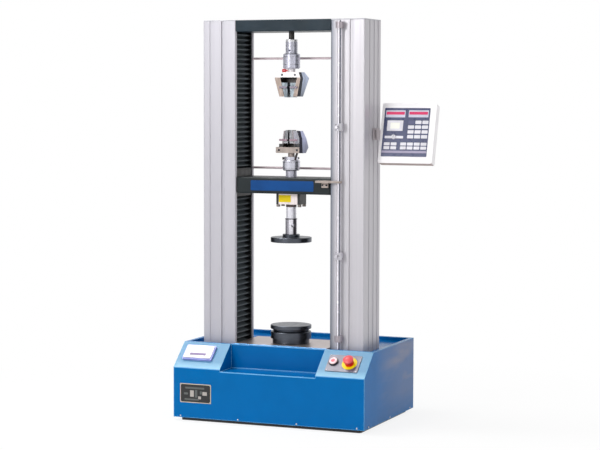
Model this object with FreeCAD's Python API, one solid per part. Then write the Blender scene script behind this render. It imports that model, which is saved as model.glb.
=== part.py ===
"""Twin-column universal testing machine with ball-screw crosshead, wedge grips and platens.

Millimetres. The origin is on the floor under the load axis: +X right, +Y to the back, +Z up.
"""
import FreeCAD
import Part
import math
import os

V = FreeCAD.Vector
X_AXIS = V(1, 0, 0)
Y_AXIS = V(0, 1, 0)
Z_AXIS = V(0, 0, 1)

# General fits
RUNNING = 0.05      # radial clearance of a shaft in its bore
APART = 0.3         # gap between faces of pieces that move past each other
CUT = 1.0           # how far a cutting tool reaches past a face

# Base cabinet
BASE_WIDTH = 800.0
BASE_FRONT = 239.0      # load axis to the front wall
BASE_REAR = 331.0       # load axis to the rear wall
RIM_HEIGHT = 300.0
RIM_WIDTH = 14.0
SHEET = 2.5
CONSOLE_WIDTH = 200.0
CONSOLE_RISE = 88.0     # height of the console slope
CONSOLE_RUN = 100.0     # front to back length of the console slope
TRAY_RECESS = 96.0      # rim to the tray floor
TRAY_DEPTH = 107.0
COVER_DROP = 15.0       # rim to the recessed top cover
COVER_LEDGE = 8.0
PLATE_THICKNESS = 14.0
PLATE_INSET = 22.0
FLANGE_WIDTH = 24.0     # inward flange at the foot of the housing

# Rear access panel
PANEL_WIDTH = 520.0
PANEL_HEADROOM = 50.0   # top of the panel to the rim
PANEL_FOOT = 60.0
PANEL_LIP = 10.0
PANEL_GAP = 0.5
LOUVRE_LENGTH = 90.0
LOUVRE_SLOT = 4.0
LOUVRE_PITCH = 14.0
LOUVRE_ROWS = 6
LOUVRE_COLUMNS = 3
LOUVRE_SPACING = 120.0
LOUVRE_FOOT = 120.0
LOUVRE_HOOD = 5.0

# Mains inlet in the rear panel
INLET_MARGIN = 60.0     # left edge of the panel to the inlet's middle
INLET_Z = 92.0
INLET_FLANGE = (50.0, 28.0, 2.5)
INLET_BODY = (32.0, 24.0, 26.0)
INLET_SOCKET = (24.0, 16.0, 18.0)
INLET_BLADE = (4.0, 2.0, 10.0)
INLET_BLADE_SPACING = 7.0

# Welded base frame
BEAM_SEAT = 0.5         # top of the beam to the cover sheet
BEAM_DEPTH_Z = 47.0
BEAM_CLEARANCE = 28.0   # end of the beam to the side of the housing
BEAM_HALF_Y = 95.0
POST_SIZE = 40.0
POST_WALL = 4.0
POST_Y = 70.0

# Work table
TABLE_GAP = 3.0         # side of the table to the column
TABLE_REAR = 125.0
TABLE_CHAMFER = 1.0

# Columns
CLEAR_WIDTH = 400.0     # between the columns
COLUMN_WIDTH = 140.0
COLUMN_DEPTH = 180.0
OVERALL_HEIGHT = 1570.0
CAP_THICKNESS = 4.0
COLUMN_WALL = 8.0
FRONT_LIP = 12.0
REAR_LIP = 18.0
CORNER_RADIUS = 5.0
GROOVE_WIDTH = 14.0
GROOVES = ((35.0, 2.5), (85.0, 5.0))    # distance from the left edge, depth
SIDE_GROOVE_WIDTH = 24.0
SIDE_GROOVE_DEPTH = 2.0
SIDE_GROOVES = (-45.0, 5.0, 50.0)
TIE_ROD_RADIUS = 4.5
TIE_ROD_Y = 81.0
TIE_ROD_DROPS = (582.0, 147.0)      # overall height to each pair

# Top beam
TOP_BEAM_HEIGHT = 45.0
TOP_BEAM_CHAMFER = 2.0

# Drive line in each column
COLUMN_X = (CLEAR_WIDTH + COLUMN_WIDTH) / 2
SCREW_Y = -30.0
SCREW_RADIUS = 16.0
SCREW_JOURNAL = 12.5
SCREW_TOP_JOURNAL = 10.0
GUIDE_Y = 42.0
GUIDE_RADIUS = 17.5
BEARING_RADIUS = 31.0
BEARING_FLANGE_RADIUS = 41.0
BEARING_FLANGE = 9.0
BEARING_DEPTH = 24.0
TOP_BEARING_RADIUS = 24.0
TOP_BEARING_DEPTH = 20.0
NUT_RADIUS = 25.0
NUT_FLANGE_RADIUS = 36.0
NUT_FLANGE = 12.0
NUT_ABOVE = 14.0
BUSH_RADIUS = 24.0
BUSH_ABOVE = 4.0

# Belt drive
PULLEY_RADIUS = 50.0
MOTOR_PULLEY_RADIUS = 20.0
PULLEY_FLANGE = 4.0
PULLEY_FLANGE_THICKNESS = 2.0
BELT_WIDTH = 20.0
BELT_THICKNESS = 4.0
BELT_DROP = 42.0        # beam to the belt's lower edge
MOTOR_X = 60.0
MOTOR_Y = 190.0
MOTOR_SIZE = 110.0
MOTOR_FLOOR_GAP = 12.0  # motor to the base plate
MOTOR_SHAFT_RADIUS = 9.5
SHELF_THICKNESS = 8.0
SHELF_DROP = 51.0       # beam to the motor shelf
SHELF_MARGIN = 26.0
SHELF_LEG_RADIUS = 8.0

# Crosshead
CROSSHEAD_DROP = 677.0      # overall height to the crosshead's underside
CROSSHEAD_HEIGHT = 63.0
CROSSHEAD_FRONT = -84.0
CROSSHEAD_REAR = 66.0
CROSSHEAD_CHAMFER = 4.0
CROSSHEAD_END_GAP = 4.0     # to the inner face of each column
NECK_GAP = 4.0              # to the column's lips
CARRIAGE_GAP = 6.0          # to the column's inner walls

# Pleated bellows
BELLOWS_SET = 3.0           # column face to the outer folds
PLEAT_DEPTH = 20.0
PLEAT_PITCH = 19.2
PLEAT_THICKNESS = 1.6
BELLOWS_SIDE_GAP = 0.5
UPPER_FRAME_HEIGHT = 32.0
LOWER_FRAME_HEIGHT = 15.0
FRAME_THICKNESS = 22.0

# Load cell and upper platen
CELL_WIDTH = 100.0
CELL_DEPTH = 67.0
CELL_HEIGHT = 44.0
CELL_SIDE = 10.0
CELL_BOLT_RADIUS = 7.5
CELL_BOLT_HEAD = 9.0
CELL_BOLT_Y = 24.0
SPIGOT_RADIUS = 20.0
SPIGOT_LENGTH = 56.0
TENON_RADIUS = 15.0
TENON_LENGTH = 45.0
SLEEVE_RADIUS = 23.0
SLEEVE_LENGTH = 62.0
LOCK_PIN_RADIUS = 5.0
LOCK_PIN_HEAD = 7.0
LOCK_PIN_HEAD_LENGTH = 6.0
LOCK_PIN_DROP = 26.0
LOCK_PIN_AZIMUTH = 45.0
HUB_RADIUS = 34.0
HUB_HEIGHT = 12.0
PLATEN_RADIUS = 81.0
UPPER_PLATEN_THICKNESS = 19.0
PLATEN_CHAMFER = 1.5

# Lower platen with spherical seat
PLATEN_BASE_RADIUS = 73.0
PLATEN_BASE_HEIGHT = 19.0
SEAT_HEIGHT = 27.0
SEAT_RADIUS = 80.0
SEAT_GROOVE = 11.0          # visible gap between the seat and the disc
DISC_THICKNESS = 15.0
SPHERE_RADIUS = 74.0
SPHERE_GAP = 0.3
SEAT_FLOOR = 4.0            # ball's flat to the bottom of the seat's hollow
BALL_DEPTH = 42.0           # disc face to the ball's flat

# Upper string
HANGER_RADIUS = 11.0
HANGER_LENGTH = 30.0
HANGER_ENGAGEMENT = 20.0
HANGER_SLEEVE_RADIUS = 23.5
HANGER_SLEEVE_LENGTH = 55.0
HANGER_PIN_RADIUS = 4.0
HANGER_PIN_RISE = 12.0
COUPLING_RADIUS = 33.5
COUPLING_LENGTH = 59.0
COUPLING_CHAMFER = 4.0
NECK_RADIUS = 15.0
UPPER_NECK_LENGTH = 14.0
NECK_TENON_LENGTH = 20.0

# Lower string
STEM_RADIUS = 22.0
STEM_LENGTH = 26.0
STEM_TENON = 16.0
LOWER_COUPLING_RADIUS = 34.5
LOWER_COUPLING_LENGTH = 41.0
COLLAR_RADIUS = 27.0
COLLAR_LENGTH = 13.0
LOWER_NECK_RADIUS = 13.0
LOWER_NECK_LENGTH = 28.0
LEVER_RADIUS = 4.5
LEVER_LENGTH = 40.0
LEVER_TILT = 20.0
SET_SCREW_RADIUS = 5.0
SET_SCREW_LENGTH = 9.0

# Wedge grips
GRIP_DEPTH = 60.0
GRIP_WEB = 16.0             # closed back of the pocket
UPPER_GRIP_PLATE = 20.0
UPPER_GRIP_CHEEK = 75.0
UPPER_GRIP_MOUTH = 19.0     # half width of the pocket at its mouth
UPPER_GRIP_ANGLE = 12.5
UPPER_GRIP_LEFT = (-46.0, -59.0, -39.0)     # left side at the root, the knee and the mouth
LOWER_GRIP_PLATE = 23.0
LOWER_GRIP_CHEEK = 64.0
LOWER_GRIP_MOUTH = 14.0
LOWER_GRIP_ANGLE = 8.0
LOWER_GRIP_LEFT = -54.0
LOWER_GRIP_WALL = 6.0
LOWER_GRIP_LEDGE = (-40.0, 29.0)
LOWER_GRIP_LEDGE_HEIGHT = 13.0
JAW_STICK_OUT = 3.0
JAW_TOOTH = 1.2
JAW_TEETH = 9
JAW_SET_BACK = 2.0
JAW_BAR_THICKNESS = 4.0
JAW_BAR_HEIGHT = 8.0
JAW_BAR_REACH = 38.0
UPPER_JAW_HEIGHT = 57.0
LOWER_JAW_HEIGHT = 52.0
UPPER_JAW_GAP = 10.0
LOWER_JAW_GAP = 6.0
JAW_SHAFT_RADIUS = 6.0
JAW_SHAFT_RISE = 36.0       # cheek mouth to the shaft
JAW_KNOB_RADIUS = 15.0
JAW_KNOB_LENGTH = 14.0
JAW_KNOB_GAP = 2.0
JAW_KNOB_FLUTES = 10
JAW_KNOB_FLUTE = 2.4
SIDE_PLATE_REAR = (5.0, 33.0, -3.0)         # rear edge at the root, the corner and the mouth
SIDE_PLATE_CORNER = 22.0
UPPER_SIDE_PLATE = ((0.0, 43.0, 53.0), (24.0, 50.0, 61.0), (95.0, 36.0, 50.0))
LOWER_SIDE_PLATE = ((0.0, 46.0, 60.0), (57.0, 46.0, 58.0), (87.0, 36.0, 50.0))

# Limit rod
LIMIT_REACH = 44.0          # column's inner side to the limit rod
LIMIT_Y = -110.0
LIMIT_ROD_RADIUS = 6.0
LIMIT_ROD_SINK = 38.0       # rim to the rod's lower end
LIMIT_ROD_DROP = 8.0        # overall height to the rod's upper end
STOP_RADIUS = 16.0
STOP_LENGTH = 28.0
UPPER_STOP_RISE = 263.0     # crosshead's underside to the upper stop
LOWER_STOP_DROP = 233.0
THUMB_RADIUS = 6.0
THUMB_LENGTH = 14.0
THUMB_NECK_RADIUS = 3.0
THUMB_NECK = 4.0
GUIDE_RING_RADIUS = 15.0
GUIDE_RING_LENGTH = 24.0
GUIDE_RISE = 40.0           # rim to the lower guide ring
GUIDE_DROP = 25.0           # overall height to the upper guide ring
GUIDE_FOOT = 6.0
SWITCH_SIZE = (34.0, 28.0, 52.0)
SWITCH_GAP = 8.0            # rod's travel above the switch
STRIKER_THICKNESS = 8.0
STRIKER_DROP = 3.0          # crosshead top to the arm's top
STRIKER_WIDTH = 24.0
STRIKER_HOLE = 7.5
STRIKER_LEFT = 150.0
STRIKER_BLOCK = (26.0, 12.0, 20.0)
STRIKER_BLOCK_LEFT = 166.0

# Console fittings
PRINTER_MARGIN = 25.0       # side of the housing to the printer
PRINTER_WIDTH = 126.0
PRINTER_FOOT = 38.0         # along the slope
PRINTER_LENGTH = 73.0
PRINTER_FRAME = 9.0
PRINTER_DOOR_MARGIN = 5.0
PRINTER_DOOR = 4.0
PRINTER_CORNER = 4.0
PAPER_SLOT = (68.0, 3.0)
PAPER_SLOT_FOOT = 24.0
PAPER_BAR = 1.5
CONTROL_MARGIN = 31.0       # inner edge of the console to the plate
CONTROL_WIDTH = 132.0
CONTROL_FOOT = 26.0
CONTROL_LENGTH = 82.0
CONTROL_THICKNESS = 3.0
CONTROL_CORNER = 3.0
START_INSET = 24.0          # left edge of the plate to each button
START_S = 72.0
STOP_INSET = 90.0
STOP_S = 68.0
BUTTON_STEM = 11.0
START_BEZEL_RADIUS = 16.0
START_BEZEL = 7.0
START_CAP_RADIUS = 12.5
START_CAP = 5.0
START_STEM = 20.0
STOP_COLLAR_RADIUS = 15.0
STOP_COLLAR = 12.0
STOP_CAP_RADIUS = 20.0
STOP_DOME_RADIUS = 32.0
STOP_CAP = 14.0
STOP_TRAVEL = 6.0
START_TRAVEL = 3.0
STOP_STEM = 22.0

# Controller on its arm
CASE_REACH = 22.0           # column's outer side to the case
CASE_WIDTH = 220.0
CASE_HEIGHT = 238.0
CASE_DEPTH = 36.0
CASE_CORNER = 7.0
CASE_Y = 24.0               # front face at mid height
CASE_DROP = 442.0           # overall height to the tilt pin
CASE_TILT = 15.0
MEMBRANE_RECESS = 1.5
MEMBRANE_LEFT = 12.0
MEMBRANE_WIDTH = 190.0
MEMBRANE_TOP = 14.0
MEMBRANE_HEIGHT = 198.0
CASE_BACK_LIP = 8.0
CASE_BACK_STEP = 6.0
PIVOT_REACH = 12.0          # column's outer side to the swivel pin
PIVOT_Y = 22.0
PIVOT_RADIUS = 4.0
KNUCKLE_RADIUS = 8.0
KNUCKLE_HEIGHT = 46.0
BRACKET_THICKNESS = 3.0
BRACKET_DEPTH = 44.0
EAR_THICKNESS = 8.0
TILT_Y = 42.0
TILT_PIN_RADIUS = 6.0
TILT_PIN_REACH = 14.0
LEAF_THICKNESS = 4.0

# Sizes that follow from the ones above
CONSOLE_FOOT = RIM_HEIGHT - CONSOLE_RISE
TRAY_FLOOR = RIM_HEIGHT - TRAY_RECESS
TRAY_HALF = BASE_WIDTH / 2 - CONSOLE_WIDTH
PANEL_HEIGHT = RIM_HEIGHT - PANEL_FOOT - PANEL_HEADROOM
COVER_TOP = RIM_HEIGHT - COVER_DROP
COVER_UNDER = COVER_TOP - SHEET
BEAM_TOP = COVER_UNDER - BEAM_SEAT
BEAM_UNDER = BEAM_TOP - BEAM_DEPTH_Z
BEAM_HALF_X = BASE_WIDTH / 2 - BEAM_CLEARANCE
BELT_BOTTOM = BEAM_UNDER - BELT_DROP
SHELF_TOP = BEAM_UNDER - SHELF_DROP
MOTOR_LENGTH = SHELF_TOP - SHELF_THICKNESS - PLATE_THICKNESS - MOTOR_FLOOR_GAP
TIE_ROD_HEIGHTS = [OVERALL_HEIGHT - drop for drop in TIE_ROD_DROPS]
CROSSHEAD_BOTTOM = OVERALL_HEIGHT - CROSSHEAD_DROP
LIMIT_ROD_BOTTOM = RIM_HEIGHT - LIMIT_ROD_SINK
LIMIT_ROD_TOP = OVERALL_HEIGHT - LIMIT_ROD_DROP
STOP_HEIGHTS = {
    "upper_stop": CROSSHEAD_BOTTOM + UPPER_STOP_RISE,
    "lower_stop": CROSSHEAD_BOTTOM - LOWER_STOP_DROP,
}
GUIDE_HEIGHTS = (RIM_HEIGHT + GUIDE_RISE, OVERALL_HEIGHT - GUIDE_DROP)
PRINTER_LEFT = -BASE_WIDTH / 2 + PRINTER_MARGIN
CONTROL_LEFT = TRAY_HALF + CONTROL_MARGIN
START_X = CONTROL_LEFT + START_INSET
STOP_X = CONTROL_LEFT + STOP_INSET
CASE_Z = OVERALL_HEIGHT - CASE_DROP
COLUMN_INNER = CLEAR_WIDTH / 2
TABLE_HALF_X = COLUMN_INNER - TABLE_GAP
INLET_X = -PANEL_WIDTH / 2 + INLET_MARGIN
COLUMN_OUTER = COLUMN_INNER + COLUMN_WIDTH
LIMIT_X = COLUMN_INNER + LIMIT_REACH
CASE_LEFT = COLUMN_OUTER + CASE_REACH
PIVOT_X = COLUMN_OUTER + PIVOT_REACH
COLUMN_TOP = OVERALL_HEIGHT - CAP_THICKNESS
TOP_BEAM_BOTTOM = OVERALL_HEIGHT - TOP_BEAM_HEIGHT
CROSSHEAD_TOP = CROSSHEAD_BOTTOM + CROSSHEAD_HEIGHT
HALF_DEPTH = COLUMN_DEPTH / 2
OPENING_FRONT = -HALF_DEPTH + FRONT_LIP
OPENING_REAR = HALF_DEPTH - REAR_LIP
UPPER_BELLOWS_BOTTOM = CROSSHEAD_TOP + UPPER_FRAME_HEIGHT
LOWER_BELLOWS_TOP = CROSSHEAD_BOTTOM - LOWER_FRAME_HEIGHT
CELL_BOTTOM = CROSSHEAD_BOTTOM - CELL_HEIGHT
SLEEVE_TOP = CELL_BOTTOM - SPIGOT_LENGTH
SLEEVE_BOTTOM = SLEEVE_TOP - SLEEVE_LENGTH
PLATEN_TOP = SLEEVE_BOTTOM - HUB_HEIGHT
BELT_TOP = BELT_BOTTOM + BELT_WIDTH
PULLEY_BOTTOM = BELT_BOTTOM - PULLEY_FLANGE_THICKNESS
PULLEY_TOP = BELT_TOP + PULLEY_FLANGE_THICKNESS
TRAY_WALL = -BASE_FRONT + TRAY_DEPTH
COVER_FRONT = TRAY_WALL + SHEET + RIM_WIDTH - COVER_LEDGE

# Console slope: foot point, direction up the slope and outward normal
SLOPE_RISE = RIM_HEIGHT - CONSOLE_FOOT
SLOPE_ANGLE = math.degrees(math.atan2(SLOPE_RISE, CONSOLE_RUN))


def box(x0, x1, y0, y1, z0, z1):
    return Part.makeBox(x1 - x0, y1 - y0, z1 - z0, V(x0, y0, z0))


def rod(radius, z0, z1, x=0.0, y=0.0):
    return Part.makeCylinder(radius, z1 - z0, V(x, y, z0))


def rod_x(radius, x0, x1, y, z):
    return Part.makeCylinder(radius, x1 - x0, V(x0, y, z), X_AXIS)


def rod_y(radius, y0, y1, x, z):
    return Part.makeCylinder(radius, y1 - y0, V(x, y0, z), Y_AXIS)


def prism(points, direction):
    """A closed polygon swept along a vector."""
    wire = Part.makePolygon([V(*p) for p in points] + [V(*points[0])])
    return Part.Face(wire).extrude(direction)


def turned(profile, x=0.0, y=0.0):
    """A radius and height outline turned about a vertical axis."""
    points = [V(x + r, y, z) for r, z in profile]
    wire = Part.makePolygon(points + [points[0]])
    return Part.Face(wire).revolve(V(x, y, 0), Z_AXIS, 360)


def fused(shapes):
    first, rest = shapes[0], shapes[1:]
    return first.multiFuse(rest).removeSplitter() if rest else first


def vertical_edges(shape):
    found = []
    for edge in shape.Edges:
        ends = [v.Point for v in edge.Vertexes]
        if len(ends) == 2 and (ends[0] - ends[1]).cross(Z_AXIS).Length < RUNNING:
            found.append(edge)
    return found


def edges_along(shape, axis):
    found = []
    for edge in shape.Edges:
        ends = [v.Point for v in edge.Vertexes]
        if len(ends) == 2 and (ends[0] - ends[1]).cross(axis).Length < RUNNING:
            found.append(edge)
    return found


def mirrored(shape):
    return shape.mirror(V(0, 0, 0), X_AXIS)


def both_sides(shape):
    return [mirrored(shape), shape]


def on_slope(shape):
    """Move a shape drawn in slope coordinates, x, length up the slope and height, to the console."""
    placed = shape.copy()
    placed.rotate(V(0, 0, 0), X_AXIS, SLOPE_ANGLE)
    placed.translate(V(0, -BASE_FRONT, CONSOLE_FOOT))
    return placed


def export(node, solids):
    shapes = solids if isinstance(solids, list) else [solids]
    shape = shapes[0] if len(shapes) == 1 else Part.makeCompound(shapes)
    shape.exportStep("parts/" + node + ".step")


def cabinet_block(inset, foot):
    """The cabinet's outside less an inset all round, with the tool tray cut out of it."""
    front, rear = -BASE_FRONT + inset, BASE_REAR - inset
    half = BASE_WIDTH / 2 - inset
    top = RIM_HEIGHT - inset
    drop = inset * math.tan(math.radians(90 - SLOPE_ANGLE) / 2)
    back = inset * math.tan(math.radians(SLOPE_ANGLE) / 2)
    outline = [
        (-half, front, foot),
        (-half, front, CONSOLE_FOOT - drop),
        (-half, -BASE_FRONT + CONSOLE_RUN + back, top),
        (-half, rear, top),
        (-half, rear, foot),
    ]
    block = prism(outline, V(2 * half, 0, 0))
    tray = box(
        -TRAY_HALF - inset,
        TRAY_HALF + inset,
        -BASE_FRONT - CUT,
        TRAY_WALL + inset,
        TRAY_FLOOR - inset,
        RIM_HEIGHT + CUT,
    )
    return block.cut(tray)


def base_housing():
    """Folded sheet-metal cabinet, open below, with a raised rim round the recessed cover."""
    foot = PLATE_THICKNESS
    shell = cabinet_block(0, foot).cut(cabinet_block(SHEET, foot - CUT))
    half = BASE_WIDTH / 2 - SHEET
    front, rear = -BASE_FRONT + SHEET, BASE_REAR - SHEET
    flange = box(-half, half, front, rear, foot, foot + SHEET).cut(
        box(
            -half + FLANGE_WIDTH,
            half - FLANGE_WIDTH,
            front + FLANGE_WIDTH,
            rear - FLANGE_WIDTH,
            foot - CUT,
            foot + SHEET + CUT,
        )
    )
    opening_half = BASE_WIDTH / 2 - RIM_WIDTH
    opening_front = COVER_FRONT
    opening_rear = BASE_REAR - RIM_WIDTH
    opening = box(-opening_half, opening_half, opening_front, opening_rear, COVER_UNDER - SHEET - CUT,
                  RIM_HEIGHT + CUT)
    fold = box(
        -opening_half - SHEET,
        opening_half + SHEET,
        opening_front - SHEET,
        opening_rear + SHEET,
        COVER_UNDER - SHEET,
        RIM_HEIGHT,
    ).cut(opening)
    ledge = box(-opening_half - CUT, opening_half + CUT, opening_front - CUT, opening_rear + CUT,
                COVER_UNDER - SHEET, COVER_UNDER)
    ledge = ledge.cut(
        box(
            -opening_half + COVER_LEDGE,
            opening_half - COVER_LEDGE,
            opening_front + COVER_LEDGE,
            opening_rear - COVER_LEDGE,
            COVER_UNDER - SHEET - CUT,
            COVER_UNDER + CUT,
        )
    )
    body = fused([shell.cut(opening), flange, fold, ledge])
    beam_room = box(
        -BEAM_HALF_X - APART,
        BEAM_HALF_X + APART,
        -BEAM_HALF_Y - APART,
        BEAM_HALF_Y + APART,
        BEAM_UNDER,
        BEAM_TOP + APART,
    )
    body = body.cut(beam_room)
    body = fused([body.cut(rear_opening()), rear_lip()])
    return body.cut(button_holes()).cut(limit_rod_room())


def limit_rod_room():
    """Hole for the limit rod through the rim's ledge and the cover."""
    return rod(LIMIT_ROD_RADIUS + APART, COVER_UNDER - SHEET - CUT, COVER_TOP + CUT, LIMIT_X, LIMIT_Y)


def rear_opening():
    return box(-PANEL_WIDTH / 2, PANEL_WIDTH / 2, BASE_REAR - SHEET - CUT, BASE_REAR + CUT,
               PANEL_FOOT, PANEL_FOOT + PANEL_HEIGHT)


def rear_lip():
    """Joggled lip inside the rear opening, on which the access panel lies."""
    grow = PANEL_LIP / 2
    outer = box(-PANEL_WIDTH / 2 - grow, PANEL_WIDTH / 2 + grow, BASE_REAR - 2 * SHEET,
                BASE_REAR - SHEET, PANEL_FOOT - grow, PANEL_FOOT + PANEL_HEIGHT + grow)
    inner = box(-PANEL_WIDTH / 2 + grow, PANEL_WIDTH / 2 - grow, BASE_REAR - 2 * SHEET - CUT,
                BASE_REAR, PANEL_FOOT + grow, PANEL_FOOT + PANEL_HEIGHT - grow)
    return outer.cut(inner)


def button_holes():
    holes = []
    for x, s in ((START_X, START_S), (STOP_X, STOP_S)):
        tool = rod(BUTTON_STEM + APART, -SHEET * 2, CUT, x, s)
        holes.append(on_slope(tool))
    return Part.makeCompound(holes)


def rear_panel():
    half = PANEL_WIDTH / 2 - PANEL_GAP
    panel = box(-half, half, BASE_REAR - SHEET, BASE_REAR, PANEL_FOOT + PANEL_GAP,
                PANEL_FOOT + PANEL_HEIGHT - PANEL_GAP)
    hoods, slots = [], []
    for column in range(LOUVRE_COLUMNS):
        x = (column - (LOUVRE_COLUMNS - 1) / 2) * LOUVRE_SPACING
        for row in range(LOUVRE_ROWS):
            z = LOUVRE_FOOT + row * LOUVRE_PITCH
            left, right = x - LOUVRE_LENGTH / 2, x + LOUVRE_LENGTH / 2
            slots.append(box(left, right, BASE_REAR - SHEET - CUT, BASE_REAR + CUT, z, z + LOUVRE_SLOT))
            outline = [
                (left, BASE_REAR - SHEET, z + LOUVRE_SLOT + SHEET),
                (left, BASE_REAR - SHEET, z + LOUVRE_SLOT),
                (left, BASE_REAR - SHEET - LOUVRE_HOOD, z),
                (left, BASE_REAR - SHEET - LOUVRE_HOOD, z + SHEET),
            ]
            hoods.append(prism(outline, V(LOUVRE_LENGTH, 0, 0)))
    inlet = box(
        INLET_X - INLET_BODY[0] / 2 - APART,
        INLET_X + INLET_BODY[0] / 2 + APART,
        BASE_REAR - SHEET - CUT,
        BASE_REAR + CUT,
        INLET_Z - INLET_BODY[1] / 2 - APART,
        INLET_Z + INLET_BODY[1] / 2 + APART,
    )
    return fused([panel.cut(Part.makeCompound(slots + [inlet]))] + hoods)


def mains_inlet():
    """Appliance inlet: flange, body with a socket and three recessed blades."""
    def centred(size, y0, y1):
        return box(INLET_X - size[0] / 2, INLET_X + size[0] / 2, y0, y1,
                   INLET_Z - size[1] / 2, INLET_Z + size[1] / 2)

    face = BASE_REAR + INLET_FLANGE[2]
    flange = centred(INLET_FLANGE, BASE_REAR, face)
    body = centred(INLET_BODY, BASE_REAR - INLET_BODY[2], BASE_REAR + CUT)
    socket = centred(INLET_SOCKET, face - INLET_SOCKET[2], face + CUT)
    shell = fused([flange, body]).cut(socket)
    blades = []
    for step in (-1, 0, 1):
        floor = face - INLET_SOCKET[2]
        x = INLET_X + step * INLET_BLADE_SPACING
        half_x, half_z = INLET_BLADE[1] / 2, INLET_BLADE[0] / 2
        blades.append(box(x - half_x, x + half_x, floor - CUT, floor + INLET_BLADE[2],
                          INLET_Z - half_z, INLET_Z + half_z))
    return fused([shell] + blades)


def base_plate():
    half = BASE_WIDTH / 2 - PLATE_INSET
    plate = box(-half, half, -BASE_FRONT + PLATE_INSET, BASE_REAR - PLATE_INSET, 0, PLATE_THICKNESS)
    return plate.makeFillet(PLATE_INSET / 2, vertical_edges(plate))


def base_frame():
    """Beam on four square tubes, bored for the screws, their bearings and the guide rods."""
    beam = box(-BEAM_HALF_X, BEAM_HALF_X, -BEAM_HALF_Y, BEAM_HALF_Y, BEAM_UNDER, BEAM_TOP)
    tools, pieces = [], [beam]
    for side in (-1, 1):
        x = side * COLUMN_X
        tools.append(rod(BEARING_RADIUS + RUNNING, BEAM_TOP - BEARING_DEPTH, BEAM_TOP + CUT, x, SCREW_Y))
        tools.append(rod(SCREW_RADIUS + APART, BEAM_UNDER - CUT, BEAM_TOP, x, SCREW_Y))
        tools.append(rod(GUIDE_RADIUS + RUNNING, BEAM_TOP - BEARING_DEPTH, BEAM_TOP + CUT, x, GUIDE_Y))
        post_x = side * (BEAM_HALF_X - POST_SIZE / 2)
        for y in (-POST_Y, POST_Y):
            half = POST_SIZE / 2
            tube = box(post_x - half, post_x + half, y - half, y + half, PLATE_THICKNESS, BEAM_UNDER)
            hollow = half - POST_WALL
            pieces.append(tube.cut(box(post_x - hollow, post_x + hollow, y - hollow, y + hollow,
                                       PLATE_THICKNESS, BEAM_UNDER)))
    return [fused(pieces).cut(Part.makeCompound(tools)), motor_shelf()]


def motor_shelf():
    half = MOTOR_SIZE / 2 + SHELF_MARGIN
    shelf = box(MOTOR_X - half, MOTOR_X + half, MOTOR_Y - half, MOTOR_Y + half,
                SHELF_TOP - SHELF_THICKNESS, SHELF_TOP)
    shelf = shelf.cut(rod(MOTOR_PULLEY_RADIUS, 0, SHELF_TOP + CUT, MOTOR_X, MOTOR_Y))
    leg_offset = half - SHELF_LEG_RADIUS - RUNNING
    legs = [
        rod(SHELF_LEG_RADIUS, PLATE_THICKNESS, SHELF_TOP - SHELF_THICKNESS,
            MOTOR_X + i * leg_offset, MOTOR_Y + j * leg_offset)
        for i in (-1, 1)
        for j in (-1, 1)
    ]
    return fused([shelf] + legs)


def top_cover():
    """Recessed cover plate round the columns and the work table."""
    half = BASE_WIDTH / 2 - RIM_WIDTH - APART
    plate = box(-half, half, COVER_FRONT + APART, BASE_REAR - RIM_WIDTH - APART, COVER_UNDER, COVER_TOP)
    cuts = [
        box(-COLUMN_OUTER - APART, COLUMN_OUTER + APART, -HALF_DEPTH - APART, HALF_DEPTH + APART,
            COVER_UNDER - CUT, COVER_TOP + CUT),
        box(-TABLE_HALF_X - APART, TABLE_HALF_X + APART, COVER_FRONT - CUT, TABLE_REAR + APART,
            COVER_UNDER - CUT, COVER_TOP + CUT),
        limit_rod_room(),
    ]
    return plate.cut(Part.makeCompound(cuts))


def work_table():
    table = box(-TABLE_HALF_X, TABLE_HALF_X, COVER_FRONT + COVER_LEDGE + APART, TABLE_REAR, BEAM_TOP,
                RIM_HEIGHT)
    top = [e for e in table.Edges if all(abs(v.Z - RIM_HEIGHT) < RUNNING for v in e.Vertexes)]
    return table.makeChamfer(TABLE_CHAMFER, top)


def column(side):
    """Hollow extrusion, open on its inner side between two lips."""
    x_in, x_out = side * COLUMN_INNER, side * COLUMN_OUTER
    left, right = min(x_in, x_out), max(x_in, x_out)
    block = box(left, right, -HALF_DEPTH, HALF_DEPTH, BEAM_TOP, COLUMN_TOP)
    block = block.makeFillet(CORNER_RADIUS, vertical_edges(block))
    inner = HALF_DEPTH - COLUMN_WALL
    low, high = BEAM_TOP - CUT, COLUMN_TOP + CUT
    tools = [box(left + COLUMN_WALL, right - COLUMN_WALL, -inner, inner, low, high)]
    mouth = sorted((x_in - side * CUT, x_in + side * (COLUMN_WALL + CUT)))
    tools.append(box(mouth[0], mouth[1], OPENING_FRONT, OPENING_REAR, low, high))
    for centre, depth in GROOVES:
        x0 = left + centre - GROOVE_WIDTH / 2
        x1 = x0 + GROOVE_WIDTH
        tools.append(box(x0, x1, -HALF_DEPTH - CUT, -HALF_DEPTH + depth, low, high))
        tools.append(box(x0, x1, HALF_DEPTH - depth, HALF_DEPTH + CUT, low, high))
    face = sorted((x_out - side * SIDE_GROOVE_DEPTH, x_out + side * CUT))
    for y in SIDE_GROOVES:
        tools.append(box(face[0], face[1], y - SIDE_GROOVE_WIDTH / 2, y + SIDE_GROOVE_WIDTH / 2, low, high))
    for z in TIE_ROD_HEIGHTS:
        ends = sorted((x_in - side * CUT, x_in + side * (COLUMN_WALL + CUT)))
        tools.append(rod_x(TIE_ROD_RADIUS + RUNNING, ends[0], ends[1], TIE_ROD_Y, z))
    return block.cut(Part.makeCompound(tools))


def column_cap():
    cap = box(COLUMN_INNER, COLUMN_OUTER, -HALF_DEPTH, HALF_DEPTH, COLUMN_TOP, OVERALL_HEIGHT)
    return cap.makeFillet(CORNER_RADIUS, vertical_edges(cap))


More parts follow.
